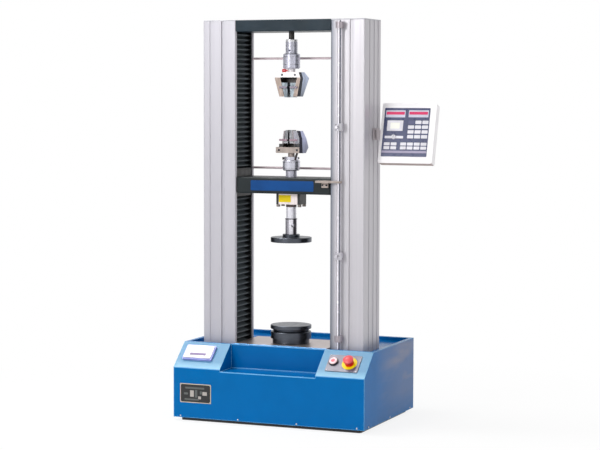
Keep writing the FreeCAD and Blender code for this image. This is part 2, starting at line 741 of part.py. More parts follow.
def top_beam():
    """Beam between the columns with arms inside them for the upper bearings and guide rods."""
    bar = box(-COLUMN_INNER, COLUMN_INNER, -HALF_DEPTH, HALF_DEPTH, TOP_BEAM_BOTTOM, OVERALL_HEIGHT)
    bar = bar.makeChamfer(TOP_BEAM_CHAMFER, edges_along(bar, X_AXIS))
    arm_x = COLUMN_OUTER - COLUMN_WALL - CARRIAGE_GAP
    arms = box(-arm_x, arm_x, OPENING_FRONT + NECK_GAP, OPENING_REAR - NECK_GAP, TOP_BEAM_BOTTOM,
               COLUMN_TOP)
    tools = [rod(HANGER_RADIUS + RUNNING, TOP_BEAM_BOTTOM - CUT, TOP_BEAM_BOTTOM + HANGER_ENGAGEMENT)]
    for x in (-COLUMN_X, COLUMN_X):
        tools.append(rod(TOP_BEARING_RADIUS + RUNNING, TOP_BEAM_BOTTOM - CUT,
                         TOP_BEAM_BOTTOM + TOP_BEARING_DEPTH, x, SCREW_Y))
        tools.append(rod(GUIDE_RADIUS + RUNNING, TOP_BEAM_BOTTOM - CUT,
                         TOP_BEAM_BOTTOM + TOP_BEARING_DEPTH, x, GUIDE_Y))
    return fused([bar, arms]).cut(Part.makeCompound(tools))


def tie_rods():
    reach = COLUMN_INNER + COLUMN_WALL
    return [rod_x(TIE_ROD_RADIUS, -reach, reach, TIE_ROD_Y, z) for z in TIE_ROD_HEIGHTS]


def guide_rod():
    low, high = BEAM_TOP - BEARING_DEPTH, TOP_BEAM_BOTTOM + TOP_BEARING_DEPTH
    return rod(GUIDE_RADIUS, low, high, COLUMN_X, GUIDE_Y)


def lower_bearing():
    seat = BEAM_TOP - BEARING_DEPTH
    bore = SCREW_JOURNAL + RUNNING
    return turned(
        [
            (bore, seat),
            (BEARING_RADIUS, seat),
            (BEARING_RADIUS, BEAM_TOP),
            (BEARING_FLANGE_RADIUS, BEAM_TOP),
            (BEARING_FLANGE_RADIUS, BEAM_TOP + BEARING_FLANGE),
            (bore, BEAM_TOP + BEARING_FLANGE),
        ],
        COLUMN_X,
        SCREW_Y,
    )


def upper_bearing():
    outer = rod(TOP_BEARING_RADIUS, TOP_BEAM_BOTTOM, TOP_BEAM_BOTTOM + TOP_BEARING_DEPTH, COLUMN_X, SCREW_Y)
    bore = rod(SCREW_TOP_JOURNAL + RUNNING, TOP_BEAM_BOTTOM - CUT, TOP_BEAM_BOTTOM + TOP_BEARING_DEPTH + CUT,
               COLUMN_X, SCREW_Y)
    return outer.cut(bore)


def ball_screw(x):
    """Screw with stepped journals, and the toothed pulley keyed on its foot."""
    shoulder = BEAM_TOP + BEARING_FLANGE + APART
    top_shoulder = TOP_BEAM_BOTTOM - APART
    screw = turned(
        [
            (0, PULLEY_BOTTOM),
            (SCREW_JOURNAL, PULLEY_BOTTOM),
            (SCREW_JOURNAL, shoulder),
            (SCREW_RADIUS, shoulder),
            (SCREW_RADIUS, top_shoulder),
            (SCREW_TOP_JOURNAL, top_shoulder),
            (SCREW_TOP_JOURNAL, TOP_BEAM_BOTTOM + TOP_BEARING_DEPTH - APART),
            (0, TOP_BEAM_BOTTOM + TOP_BEARING_DEPTH - APART),
        ],
        x,
        SCREW_Y,
    )
    return [screw, pulley(PULLEY_RADIUS, SCREW_JOURNAL, x, SCREW_Y)]


def pulley(radius, bore, x, y):
    rim = radius + PULLEY_FLANGE
    return turned(
        [
            (bore, PULLEY_BOTTOM),
            (rim, PULLEY_BOTTOM),
            (rim, BELT_BOTTOM - APART),
            (radius, BELT_BOTTOM - APART),
            (radius, BELT_TOP + APART),
            (rim, BELT_TOP + APART),
            (rim, PULLEY_TOP),
            (bore, PULLEY_TOP),
        ],
        x,
        y,
    )


def servo_motor():
    half = MOTOR_SIZE / 2
    top = SHELF_TOP - SHELF_THICKNESS
    body = box(MOTOR_X - half, MOTOR_X + half, MOTOR_Y - half, MOTOR_Y + half, top - MOTOR_LENGTH, top)
    body = body.makeChamfer(MOTOR_SIZE / 10, vertical_edges(body))
    return body.cut(rod(MOTOR_SHAFT_RADIUS + RUNNING, top - MOTOR_LENGTH / 2, top + CUT, MOTOR_X, MOTOR_Y))


def motor_shaft():
    top = SHELF_TOP - SHELF_THICKNESS
    shaft = rod(MOTOR_SHAFT_RADIUS, top - MOTOR_LENGTH / 2 + APART, PULLEY_TOP, MOTOR_X, MOTOR_Y)
    wheel = pulley(MOTOR_PULLEY_RADIUS, MOTOR_SHAFT_RADIUS, MOTOR_X, MOTOR_Y)
    return fused([shaft, wheel])


def belt_loop(circles, grow):
    """Solid inside a belt line that runs round the circles, listed anticlockwise."""
    corners, discs = [], []
    for i, (x, y, r) in enumerate(circles):
        nx, ny, nr = circles[(i + 1) % len(circles)]
        length = math.hypot(nx - x, ny - y)
        ux, uy = (nx - x) / length, (ny - y) / length
        along = (r - nr) / length
        across = math.sqrt(1 - along * along)
        px, py = ux * along + uy * across, uy * along - ux * across
        corners.append((x + px * (r + grow), y + py * (r + grow), BELT_BOTTOM))
        corners.append((nx + px * (nr + grow), ny + py * (nr + grow), BELT_BOTTOM))
        discs.append(rod(r + grow, BELT_BOTTOM, BELT_TOP, x, y))
    return fused([prism(corners, V(0, 0, BELT_WIDTH))] + discs)


def drive_belt():
    circles = [
        (-COLUMN_X, SCREW_Y, PULLEY_RADIUS),
        (COLUMN_X, SCREW_Y, PULLEY_RADIUS),
        (MOTOR_X, MOTOR_Y, MOTOR_PULLEY_RADIUS),
    ]
    return belt_loop(circles, APART + BELT_THICKNESS).cut(belt_loop(circles, APART))


def crosshead():
    """Front bar between the columns with a neck and carriage reaching into each of them."""
    bar_x = COLUMN_INNER - CROSSHEAD_END_GAP
    bar = box(-bar_x, bar_x, CROSSHEAD_FRONT, CROSSHEAD_REAR, CROSSHEAD_BOTTOM, CROSSHEAD_TOP)
    bar = bar.makeChamfer(CROSSHEAD_CHAMFER, edges_along(bar, X_AXIS))
    arm_x = COLUMN_OUTER - COLUMN_WALL - CARRIAGE_GAP
    arms = box(-arm_x, arm_x, OPENING_FRONT + NECK_GAP, OPENING_REAR - NECK_GAP, CROSSHEAD_BOTTOM,
               CROSSHEAD_TOP)
    tools = []
    for x in (-COLUMN_X, COLUMN_X):
        tools.append(rod(NUT_RADIUS + RUNNING, CROSSHEAD_BOTTOM - CUT, CROSSHEAD_TOP + CUT, x, SCREW_Y))
        tools.append(rod(BUSH_RADIUS + RUNNING, CROSSHEAD_BOTTOM - CUT, CROSSHEAD_TOP + CUT, x, GUIDE_Y))
    return fused([bar, arms]).cut(Part.makeCompound(tools))


def ball_nut():
    bore = SCREW_RADIUS + RUNNING
    return turned(
        [
            (bore, CROSSHEAD_BOTTOM - NUT_FLANGE),
            (NUT_FLANGE_RADIUS, CROSSHEAD_BOTTOM - NUT_FLANGE),
            (NUT_FLANGE_RADIUS, CROSSHEAD_BOTTOM),
            (NUT_RADIUS, CROSSHEAD_BOTTOM),
            (NUT_RADIUS, CROSSHEAD_TOP + NUT_ABOVE),
            (bore, CROSSHEAD_TOP + NUT_ABOVE),
        ],
        COLUMN_X,
        SCREW_Y,
    )


def guide_bush():
    bush = rod(BUSH_RADIUS, CROSSHEAD_BOTTOM, CROSSHEAD_TOP + BUSH_ABOVE, COLUMN_X, GUIDE_Y)
    return bush.cut(rod(GUIDE_RADIUS + RUNNING, CROSSHEAD_BOTTOM - CUT, CROSSHEAD_TOP + BUSH_ABOVE + CUT,
                        COLUMN_X, GUIDE_Y))


def bellows(z0, z1):
    """Zigzag curtain that fills the opening of the right column between two heights."""
    pleats = round((z1 - z0) / PLEAT_PITCH)
    step = (z1 - z0) / pleats
    outer = COLUMN_INNER + BELLOWS_SET
    inner = outer + PLEAT_DEPTH
    y0 = OPENING_FRONT + BELLOWS_SIDE_GAP
    width = OPENING_REAR - OPENING_FRONT - 2 * BELLOWS_SIDE_GAP
    near, far = [], []
    for i in range(pleats):
        z = z0 + i * step
        near += [(inner - PLEAT_THICKNESS, y0, z), (outer, y0, z + step / 2)]
        far += [(inner, y0, z), (outer + PLEAT_THICKNESS, y0, z + step / 2)]
    near.append((inner - PLEAT_THICKNESS, y0, z1))
    far.append((inner, y0, z1))
    return prism(near + far[::-1], V(0, width, 0))


def bellows_frame(z0, z1):
    x = COLUMN_INNER + BELLOWS_SET
    return box(x, x + FRAME_THICKNESS, OPENING_FRONT + BELLOWS_SIDE_GAP, OPENING_REAR - BELLOWS_SIDE_GAP,
               z0, z1)


def load_cell():
    half = CELL_WIDTH / 2 - CELL_SIDE
    cell = box(-half, half, -CELL_DEPTH / 2, CELL_DEPTH / 2, CELL_BOTTOM, CROSSHEAD_BOTTOM)
    return cell


def cell_side_plates():
    """Dark side plates of the load cell with the heads of their hanging bolts."""
    solids = []
    outer = CELL_WIDTH / 2
    for x0, x1 in ((-outer, -outer + CELL_SIDE), (outer - CELL_SIDE, outer)):
        solids.append(box(x0, x1, -CELL_DEPTH / 2, CELL_DEPTH / 2, CELL_BOTTOM, CROSSHEAD_BOTTOM))
        for y in (-CELL_BOLT_Y, CELL_BOLT_Y):
            head = CELL_BOTTOM - CELL_BOLT_HEAD
            solids.append(rod(CELL_BOLT_RADIUS, head, CELL_BOTTOM, (x0 + x1) / 2, y))
    return solids


def platen_spigot():
    top = CELL_BOTTOM
    return turned(
        [
            (0, SLEEVE_TOP - TENON_LENGTH),
            (TENON_RADIUS, SLEEVE_TOP - TENON_LENGTH),
            (TENON_RADIUS, SLEEVE_TOP),
            (SPIGOT_RADIUS, SLEEVE_TOP),
            (SPIGOT_RADIUS, top),
            (0, top),
        ]
    ).cut(lock_pin_bar(LOCK_PIN_RADIUS + RUNNING, 0))


def lock_pin_bar(radius, extra):
    reach = SLEEVE_RADIUS + extra
    z = SLEEVE_TOP - LOCK_PIN_DROP
    bar = rod_y(radius, -reach, SLEEVE_RADIUS, 0, z)
    return bar.rotate(V(0, 0, 0), Z_AXIS, LOCK_PIN_AZIMUTH)


def platen_sleeve():
    """Sleeve over the spigot's tenon, held by a cross pin with a round head."""
    sleeve = rod(SLEEVE_RADIUS, SLEEVE_BOTTOM, SLEEVE_TOP)
    bore = rod(TENON_RADIUS + RUNNING, SLEEVE_TOP - TENON_LENGTH - APART, SLEEVE_TOP + CUT)
    z = SLEEVE_TOP - LOCK_PIN_DROP
    head = rod_y(LOCK_PIN_HEAD, -SLEEVE_RADIUS - LOCK_PIN_HEAD_LENGTH, -SLEEVE_RADIUS, 0, z)
    flat = rod_y(LOCK_PIN_HEAD, -SLEEVE_RADIUS - CUT, -TENON_RADIUS - CUT, 0, z)
    head = fused([head, flat]).rotate(V(0, 0, 0), Z_AXIS, LOCK_PIN_AZIMUTH)
    shell = fused([sleeve.cut(bore), head])
    return fused([shell, lock_pin_bar(LOCK_PIN_RADIUS, 0)])


def upper_platen():
    bottom = PLATEN_TOP - UPPER_PLATEN_THICKNESS
    c = PLATEN_CHAMFER
    return turned(
        [
            (0, bottom),
            (PLATEN_RADIUS - c, bottom),
            (PLATEN_RADIUS, bottom + c),
            (PLATEN_RADIUS, PLATEN_TOP - c),
            (PLATEN_RADIUS - c, PLATEN_TOP),
            (HUB_RADIUS, PLATEN_TOP),
            (HUB_RADIUS, SLEEVE_BOTTOM - c),
            (HUB_RADIUS - c, SLEEVE_BOTTOM),
            (0, SLEEVE_BOTTOM),
        ]
    )


def platen_base():
    c = PLATEN_CHAMFER
    top = RIM_HEIGHT + PLATEN_BASE_HEIGHT
    return turned([(0, RIM_HEIGHT), (PLATEN_BASE_RADIUS - c, RIM_HEIGHT), (PLATEN_BASE_RADIUS, RIM_HEIGHT + c),
                   (PLATEN_BASE_RADIUS, top), (0, top)])


def platen_seat():
    """Ring with a hollow spherical seat centred on the loading face."""
    bottom = RIM_HEIGHT + PLATEN_BASE_HEIGHT
    top = bottom + SEAT_HEIGHT
    c = PLATEN_CHAMFER
    centre = V(0, 0, top + SEAT_GROOVE + DISC_THICKNESS)
    ring = turned([(0, bottom), (SEAT_RADIUS, bottom), (SEAT_RADIUS, top - c), (SEAT_RADIUS - c, top), (0, top)])
    hollow = Part.makeSphere(SPHERE_RADIUS + SPHERE_GAP, centre)
    floor = centre.z - BALL_DEPTH - SEAT_FLOOR
    reach = 2 * SPHERE_RADIUS
    keep = box(-reach, reach, -reach, reach, floor, centre.z)
    return ring.cut(hollow.common(keep))


def platen_disc():
    """Loading disc with a ball-shaped underside about the centre of its top face."""
    bottom = RIM_HEIGHT + PLATEN_BASE_HEIGHT + SEAT_HEIGHT + SEAT_GROOVE
    top = bottom + DISC_THICKNESS
    c = PLATEN_CHAMFER
    disc = turned([(0, bottom), (PLATEN_RADIUS - c, bottom), (PLATEN_RADIUS, bottom + c),
                   (PLATEN_RADIUS, top - c), (PLATEN_RADIUS - c, top), (0, top)])
    reach = 2 * SPHERE_RADIUS
    ball = Part.makeSphere(SPHERE_RADIUS, V(0, 0, top))
    ball = ball.common(box(-reach, reach, -reach, reach, top - BALL_DEPTH, bottom + CUT))
    return fused([disc, ball])


def hanger_sleeve():
    """Sleeve with a stud that enters the top beam and a hole for its cross pin."""
    top = TOP_BEAM_BOTTOM - HANGER_LENGTH
    bottom = top - HANGER_SLEEVE_LENGTH
    stud_top = TOP_BEAM_BOTTOM + HANGER_ENGAGEMENT - APART
    c = PLATEN_CHAMFER
    sleeve = turned(
        [
            (0, bottom),
            (HANGER_SLEEVE_RADIUS - c, bottom),
            (HANGER_SLEEVE_RADIUS, bottom + c),
            (HANGER_SLEEVE_RADIUS, top - c),
            (HANGER_SLEEVE_RADIUS - c, top),
            (HANGER_RADIUS, top),
            (HANGER_RADIUS, stud_top),
            (0, stud_top),
        ]
    )
    pin_z = bottom + HANGER_PIN_RISE
    return sleeve.cut(rod_y(HANGER_PIN_RADIUS, -HANGER_SLEEVE_RADIUS - CUT, -HANGER_RADIUS, 0, pin_z))


def hanger_coupling():
    top = TOP_BEAM_BOTTOM - HANGER_LENGTH - HANGER_SLEEVE_LENGTH
    bottom = top - COUPLING_LENGTH
    c = COUPLING_CHAMFER
    return turned(
        [
            (0, bottom + NECK_TENON_LENGTH + APART),
            (NECK_RADIUS + RUNNING, bottom + NECK_TENON_LENGTH + APART),
            (NECK_RADIUS + RUNNING, bottom),
            (COUPLING_RADIUS - c, bottom),
            (COUPLING_RADIUS, bottom + c),
            (COUPLING_RADIUS, top - c),
            (COUPLING_RADIUS - c, top),
            (0, top),
        ]
    )


class Grip:
    """Sizes of one wedge grip; way is -1 where the jaws hang down and +1 where they stand up."""

    def __init__(self, way, root, plate, cheek, mouth, angle, jaw_height, jaw_gap, side):
        self.way = way
        self.root = root                        # height of the plate's far face
        self.plate_end = root + way * plate     # where the cheeks start
        self.mouth_z = self.plate_end + way * cheek
        self.mouth = mouth
        self.slope = math.tan(math.radians(angle))
        self.jaw_height = jaw_height
        self.jaw_gap = jaw_gap
        self.side = side
        self.front = -GRIP_DEPTH / 2
        self.rear = GRIP_DEPTH / 2
        self.web_front = self.rear - GRIP_WEB
        self.shaft_z = self.mouth_z - way * JAW_SHAFT_RISE

    def half_width(self, z):
        """Half the pocket's width at a height; it narrows towards the mouth."""
        return self.mouth + (self.mouth_z - z) * self.way * self.slope

    def pocket(self):
        past = self.mouth_z + self.way * CUT
        wide, narrow = self.half_width(self.plate_end), self.half_width(past)
        start = self.front - CUT
        outline = [(-wide, self.plate_end), (wide, self.plate_end), (narrow, past), (-narrow, past)]
        return prism([(x, start, z) for x, z in outline], V(0, self.web_front - start, 0))

    def jaw(self, side):
        """One wedge jaw with a toothed face, a slanted back and a cross bar in front of the cheek."""
        tip = self.mouth_z + self.way * JAW_STICK_OUT
        back = tip - self.way * self.jaw_height
        clearance = APART / math.cos(math.atan(self.slope))
        face = self.jaw_gap / 2
        outline = [(self.half_width(tip) - clearance, tip), (self.half_width(back) - clearance, back),
                   (face, back)]
        step = (tip - back) / JAW_TEETH
        for i in range(JAW_TEETH):
            z = back + i * step
            outline.append((face + JAW_TOOTH, z + step / 2))
            outline.append((face, z + step))
        start = self.front + JAW_SET_BACK
        body = prism([(side * x, start, z) for x, z in outline], V(0, self.web_front - APART - start, 0))
        low, high = self.shaft_z - JAW_BAR_HEIGHT / 2, self.shaft_z + JAW_BAR_HEIGHT / 2
        bar_front = self.front - APART - JAW_BAR_THICKNESS
        near = face + JAW_TOOTH
        inner = min(self.half_width(low), self.half_width(high)) - 2 * clearance
        ends = sorted((side * near, side * JAW_BAR_REACH))
        bar = box(ends[0], ends[1], bar_front, self.front - APART, low, high)
        ends = sorted((side * near, side * inner))
        root = box(ends[0], ends[1], bar_front, start + CUT, low, high)
        return fused([body, bar, root])

    def shaft(self):
        """Jaw-setting shaft in the grip's back with a fluted knob behind."""
        knob_start = self.rear + JAW_KNOB_GAP
        knob_end = knob_start + JAW_KNOB_LENGTH
        bar = rod_y(JAW_SHAFT_RADIUS, self.web_front + APART, knob_end, 0, self.shaft_z)
        knob = rod_y(JAW_KNOB_RADIUS, knob_start, knob_end, 0, self.shaft_z)
        flutes = []
        for i in range(JAW_KNOB_FLUTES):
            turn = math.radians(360 / JAW_KNOB_FLUTES * i)
            x = (JAW_KNOB_RADIUS + JAW_KNOB_FLUTE / 2) * math.cos(turn)
            z = self.shaft_z + (JAW_KNOB_RADIUS + JAW_KNOB_FLUTE / 2) * math.sin(turn)
            flutes.append(rod_y(JAW_KNOB_FLUTE, knob_start - CUT, knob_end + CUT, x, z))
        return fused([bar, knob.cut(Part.makeCompound(flutes))])

    def shaft_bore(self):
        return rod_y(JAW_SHAFT_RADIUS + RUNNING, self.web_front - CUT, self.rear + CUT, 0, self.shaft_z)

    def side_line(self, which):
        """Points of the side plate's inner (1) or outer (2) face, from the root to the mouth."""
        return [(corner[which], self.root + self.way * corner[0]) for corner in self.side]

    def side_plate(self):
        """Leaning plate on the grip's right side with a slanted rear edge and a cut corner."""
        depth = max(SIDE_PLATE_REAR) - self.front
        outline = self.side_line(1) + self.side_line(2)[::-1]
        lean = prism([(x, self.front, z) for x, z in outline], V(0, depth, 0))
        root_y, corner_y, mouth_y = SIDE_PLATE_REAR
        profile = [
            (self.front, self.root),
            (root_y, self.root),
            (corner_y, self.root + self.way * SIDE_PLATE_CORNER),
            (mouth_y, self.mouth_z),
            (self.front, self.mouth_z),
        ]
        return lean.common(prism([(0, y, z) for y, z in profile], V(GRIP_DEPTH * 2, 0, 0)))


NECK_BOTTOM = TOP_BEAM_BOTTOM - HANGER_LENGTH - HANGER_SLEEVE_LENGTH - COUPLING_LENGTH - UPPER_NECK_LENGTH
STEM_TOP = CROSSHEAD_TOP + STEM_LENGTH
COLLAR_TOP = STEM_TOP + LOWER_COUPLING_LENGTH + COLLAR_LENGTH
LOWER_GRIP_ROOT = STEM_TOP + LOWER_COUPLING_LENGTH + LOWER_NECK_LENGTH

UPPER_GRIP = Grip(-1, NECK_BOTTOM, UPPER_GRIP_PLATE, UPPER_GRIP_CHEEK, UPPER_GRIP_MOUTH, UPPER_GRIP_ANGLE,
                  UPPER_JAW_HEIGHT, UPPER_JAW_GAP, UPPER_SIDE_PLATE)
LOWER_GRIP = Grip(1, LOWER_GRIP_ROOT, LOWER_GRIP_PLATE, LOWER_GRIP_CHEEK, LOWER_GRIP_MOUTH, LOWER_GRIP_ANGLE,
                  LOWER_JAW_HEIGHT, LOWER_JAW_GAP, LOWER_SIDE_PLATE)


def upper_grip_body():
    """Bevelled top plate and two cheeks round a pocket that narrows downwards."""
    g = UPPER_GRIP
    right = g.side_line(1)
    left = [(x, z) for x, (_, z) in zip(UPPER_GRIP_LEFT, right)]
    body = prism([(x, g.front, z) for x, z in left + right[::-1]], V(0, GRIP_DEPTH, 0))
    neck = rod(NECK_RADIUS, g.root, g.root + UPPER_NECK_LENGTH + NECK_TENON_LENGTH)
    return fused([body.cut(g.pocket()).cut(g.shaft_bore()), neck])


def lower_grip_body():
    """Bottom plate, stepped foot and two slim cheeks round a pocket that narrows upwards."""
    g = LOWER_GRIP
    right = g.side_line(1)[0][0]
    plate = box(LOWER_GRIP_LEFT, right, g.front, g.rear, g.root, g.plate_end)
    foot = g.half_width(g.plate_end) + LOWER_GRIP_WALL
    tip = g.mouth + LOWER_GRIP_WALL
    outline = [(-foot, g.plate_end), (foot, g.plate_end), (tip, g.mouth_z), (-tip, g.mouth_z)]
    block = prism([(x, g.front, z) for x, z in outline], V(0, GRIP_DEPTH, 0))
    ledge = box(LOWER_GRIP_LEDGE[0], LOWER_GRIP_LEDGE[1], g.front, g.rear, g.plate_end - CUT,
                g.plate_end + LOWER_GRIP_LEDGE_HEIGHT)
    neck = rod(LOWER_NECK_RADIUS, STEM_TOP + STEM_TENON + APART, g.root)
    body = fused([plate, block, ledge])
    return fused([body.cut(g.pocket()).cut(g.shaft_bore()), neck])


def lower_stem():
    return rod(STEM_RADIUS, CROSSHEAD_TOP, STEM_TOP + STEM_TENON)


def lower_coupling():
    """Ring nut, its collar, two set screws and a slanted lever pin."""
    top = STEM_TOP + LOWER_COUPLING_LENGTH
    c = COUPLING_CHAMFER
    nut = turned(
        [
            (LOWER_NECK_RADIUS + RUNNING, STEM_TOP + STEM_TENON + APART),
            (STEM_RADIUS + RUNNING, STEM_TOP + STEM_TENON + APART),
            (STEM_RADIUS + RUNNING, STEM_TOP),
            (LOWER_COUPLING_RADIUS - c, STEM_TOP),
            (LOWER_COUPLING_RADIUS, STEM_TOP + c),
            (LOWER_COUPLING_RADIUS, top - c),
            (LOWER_COUPLING_RADIUS - c, top),
            (COLLAR_RADIUS, top),
            (COLLAR_RADIUS, COLLAR_TOP),
            (LOWER_NECK_RADIUS + RUNNING, COLLAR_TOP),
        ]
    )
    mid = (top + COLLAR_TOP) / 2
    screws = []
    for turn in (-60, 150):
        screw = rod_y(SET_SCREW_RADIUS, -COLLAR_RADIUS - SET_SCREW_LENGTH, -COLLAR_RADIUS + CUT, 0, mid)
        screws.append(screw.rotate(V(0, 0, 0), Z_AXIS, turn))
    lever = rod(LEVER_RADIUS, 0, LEVER_LENGTH)
    lever.rotate(V(0, 0, 0), Y_AXIS, LEVER_TILT)
    lever.translate(V(LOWER_NECK_RADIUS + LEVER_RADIUS + CUT, -COLLAR_RADIUS / 2, top - LEVER_RADIUS))
    room = box(0, LEVER_LENGTH, -COLLAR_RADIUS, 0, top - LEVER_LENGTH, LOWER_GRIP_ROOT - APART)
    lever = lever.common(room)
    return fused([nut] + screws + [lever])


def limit_rod():
    return rod(LIMIT_ROD_RADIUS, LIMIT_ROD_BOTTOM, LIMIT_ROD_TOP, LIMIT_X, LIMIT_Y)


def stop_collar(z):
    """Collar on the limit rod with a thumbscrew towards the operator."""
    low, high = z - STOP_LENGTH / 2, z + STOP_LENGTH / 2
    ring = rod(STOP_RADIUS, low, high, LIMIT_X, LIMIT_Y)
    neck_y = LIMIT_Y - STOP_RADIUS - THUMB_NECK
    neck = rod_y(THUMB_NECK_RADIUS, neck_y, LIMIT_Y, LIMIT_X, z)
    thumb = rod_y(THUMB_RADIUS, neck_y - THUMB_LENGTH, neck_y, LIMIT_X, z)
    bore = rod(LIMIT_ROD_RADIUS + RUNNING, low - CUT, high + CUT, LIMIT_X, LIMIT_Y)
    return fused([ring, neck, thumb]).cut(bore)


def limit_guides():
    """Two guides on the column's front for the limit rod, and the switch below it."""
    solids = []
    for z in GUIDE_HEIGHTS:
        low, high = z - GUIDE_RING_LENGTH / 2, z + GUIDE_RING_LENGTH / 2
        ring = rod(GUIDE_RING_RADIUS, low, high, LIMIT_X, LIMIT_Y)
        foot = box(LIMIT_X - GUIDE_FOOT, LIMIT_X + GUIDE_FOOT, LIMIT_Y, -HALF_DEPTH, low, high)
        bore = rod(LIMIT_ROD_RADIUS + RUNNING, low - CUT, high + CUT, LIMIT_X, LIMIT_Y)
        solids.append(fused([ring, foot]).cut(bore))
    width, depth, height = SWITCH_SIZE
    top = LIMIT_ROD_BOTTOM - SWITCH_GAP
    solids.append(box(LIMIT_X - width / 2, LIMIT_X + width / 2, -BEAM_HALF_Y - depth, -BEAM_HALF_Y,
                      top - height, top))
    return solids


def striker_arm():
    """Arm on the crosshead's front that straddles the limit rod between its stops."""
    top = CROSSHEAD_TOP - STRIKER_DROP - CROSSHEAD_CHAMFER
    low = top - STRIKER_THICKNESS
    front = LIMIT_Y - STRIKER_WIDTH / 2
    arm = box(STRIKER_LEFT, LIMIT_X, front, CROSSHEAD_FRONT, low, top)
    end = rod(STRIKER_WIDTH / 2, low, top, LIMIT_X, LIMIT_Y)
    width, depth, height = STRIKER_BLOCK
    block = box(STRIKER_BLOCK_LEFT, STRIKER_BLOCK_LEFT + width, CROSSHEAD_FRONT - depth, CROSSHEAD_FRONT,
                low - height, low)
    neck_room = box(COLUMN_INNER - CUT, LIMIT_X + CUT, LIMIT_Y + STRIKER_WIDTH / 2, 0, low - CUT, top + CUT)
    hole = rod(STRIKER_HOLE, low - CUT, top + CUT, LIMIT_X, LIMIT_Y)
    return fused([arm, end, block]).cut(neck_room).cut(hole)


def slab(x, s, width, length, low, high, corner):
    """A plate with rounded corners in slope coordinates."""
    plate = box(x, x + width, s, s + length, low, high)
    return plate.makeFillet(corner, vertical_edges(plate))


def printer_body():
    frame = slab(PRINTER_LEFT, PRINTER_FOOT, PRINTER_WIDTH, PRINTER_LENGTH, 0, PRINTER_FRAME, PRINTER_CORNER)
    return on_slope(frame)


def printer_door():
    """Paper door with a tear slot and a raised tear bar."""
    m = PRINTER_DOOR_MARGIN
    low, high = PRINTER_FRAME + RUNNING, PRINTER_FRAME + PRINTER_DOOR
    width = PRINTER_WIDTH - 2 * m
    door = slab(PRINTER_LEFT + m, PRINTER_FOOT + m, width, PRINTER_LENGTH - 2 * m, low, high, PRINTER_CORNER)
    x = PRINTER_LEFT + (PRINTER_WIDTH - PAPER_SLOT[0]) / 2
    s = PRINTER_FOOT + PAPER_SLOT_FOOT
    slot = box(x, x + PAPER_SLOT[0], s, s + PAPER_SLOT[1], low - CUT, high + CUT)
    bar = box(x, x + PAPER_SLOT[0], s + PAPER_SLOT[1], s + 2 * PAPER_SLOT[1], high - CUT, high + PAPER_BAR)
    return on_slope(fused([door.cut(slot), bar]))


def control_panel():
    """Panel plate with a bezel for the start button and a collar for the emergency stop."""
    plate = slab(CONTROL_LEFT, CONTROL_FOOT, CONTROL_WIDTH, CONTROL_LENGTH, 0, CONTROL_THICKNESS,
                 CONTROL_CORNER)
    bezel = rod(START_BEZEL_RADIUS, 0, CONTROL_THICKNESS + START_BEZEL, START_X, START_S)
    collar = rod(STOP_COLLAR_RADIUS, 0, CONTROL_THICKNESS + STOP_COLLAR, STOP_X, STOP_S)
    bezel_top = CONTROL_THICKNESS + START_BEZEL
    holes = [
        rod(START_CAP_RADIUS + APART, CONTROL_THICKNESS, bezel_top + CUT, START_X, START_S),
        rod(BUTTON_STEM + RUNNING, -CUT, CONTROL_THICKNESS + CUT, START_X, START_S),
        rod(BUTTON_STEM + RUNNING, -CUT, CONTROL_THICKNESS + STOP_COLLAR + CUT, STOP_X, STOP_S),
    ]
    return on_slope(fused([plate, bezel, collar]).cut(Part.makeCompound(holes)))


def start_button():
    top = CONTROL_THICKNESS + START_BEZEL + START_CAP - START_TRAVEL
    low = CONTROL_THICKNESS + START_TRAVEL + APART
    cap = rod(START_CAP_RADIUS, low, top, START_X, START_S)
    edges = [e for e in cap.Edges if all(abs(v.Z - top) < RUNNING for v in e.Vertexes)]
    cap = cap.makeFillet(PLATEN_CHAMFER, edges)
    stem = rod(BUTTON_STEM, -START_STEM, low + CUT, START_X, START_S)
    return on_slope(fused([cap, stem]))


def stop_button():
    """Emergency stop mushroom on its stem."""
    low = CONTROL_THICKNESS + STOP_COLLAR + STOP_TRAVEL + APART
    edge = low + STOP_CAP / 3
    top = low + STOP_CAP
    dome = Part.makeSphere(STOP_DOME_RADIUS, V(STOP_X, STOP_S, top - STOP_DOME_RADIUS))
    disc = rod(STOP_CAP_RADIUS, low, top, STOP_X, STOP_S).common(dome)
    skirt = rod(STOP_CAP_RADIUS, low, edge, STOP_X, STOP_S)
    stem = rod(BUTTON_STEM, -STOP_STEM, low + CUT, STOP_X, STOP_S)
    return on_slope(fused([disc, skirt.common(dome), stem]))


def tilted(shape):
    """Lean a shape back about the controller's tilt pin."""
    leaned = shape.copy()
    leaned.rotate(V(0, TILT_Y, CASE_Z), X_AXIS, -CASE_TILT)
    return leaned


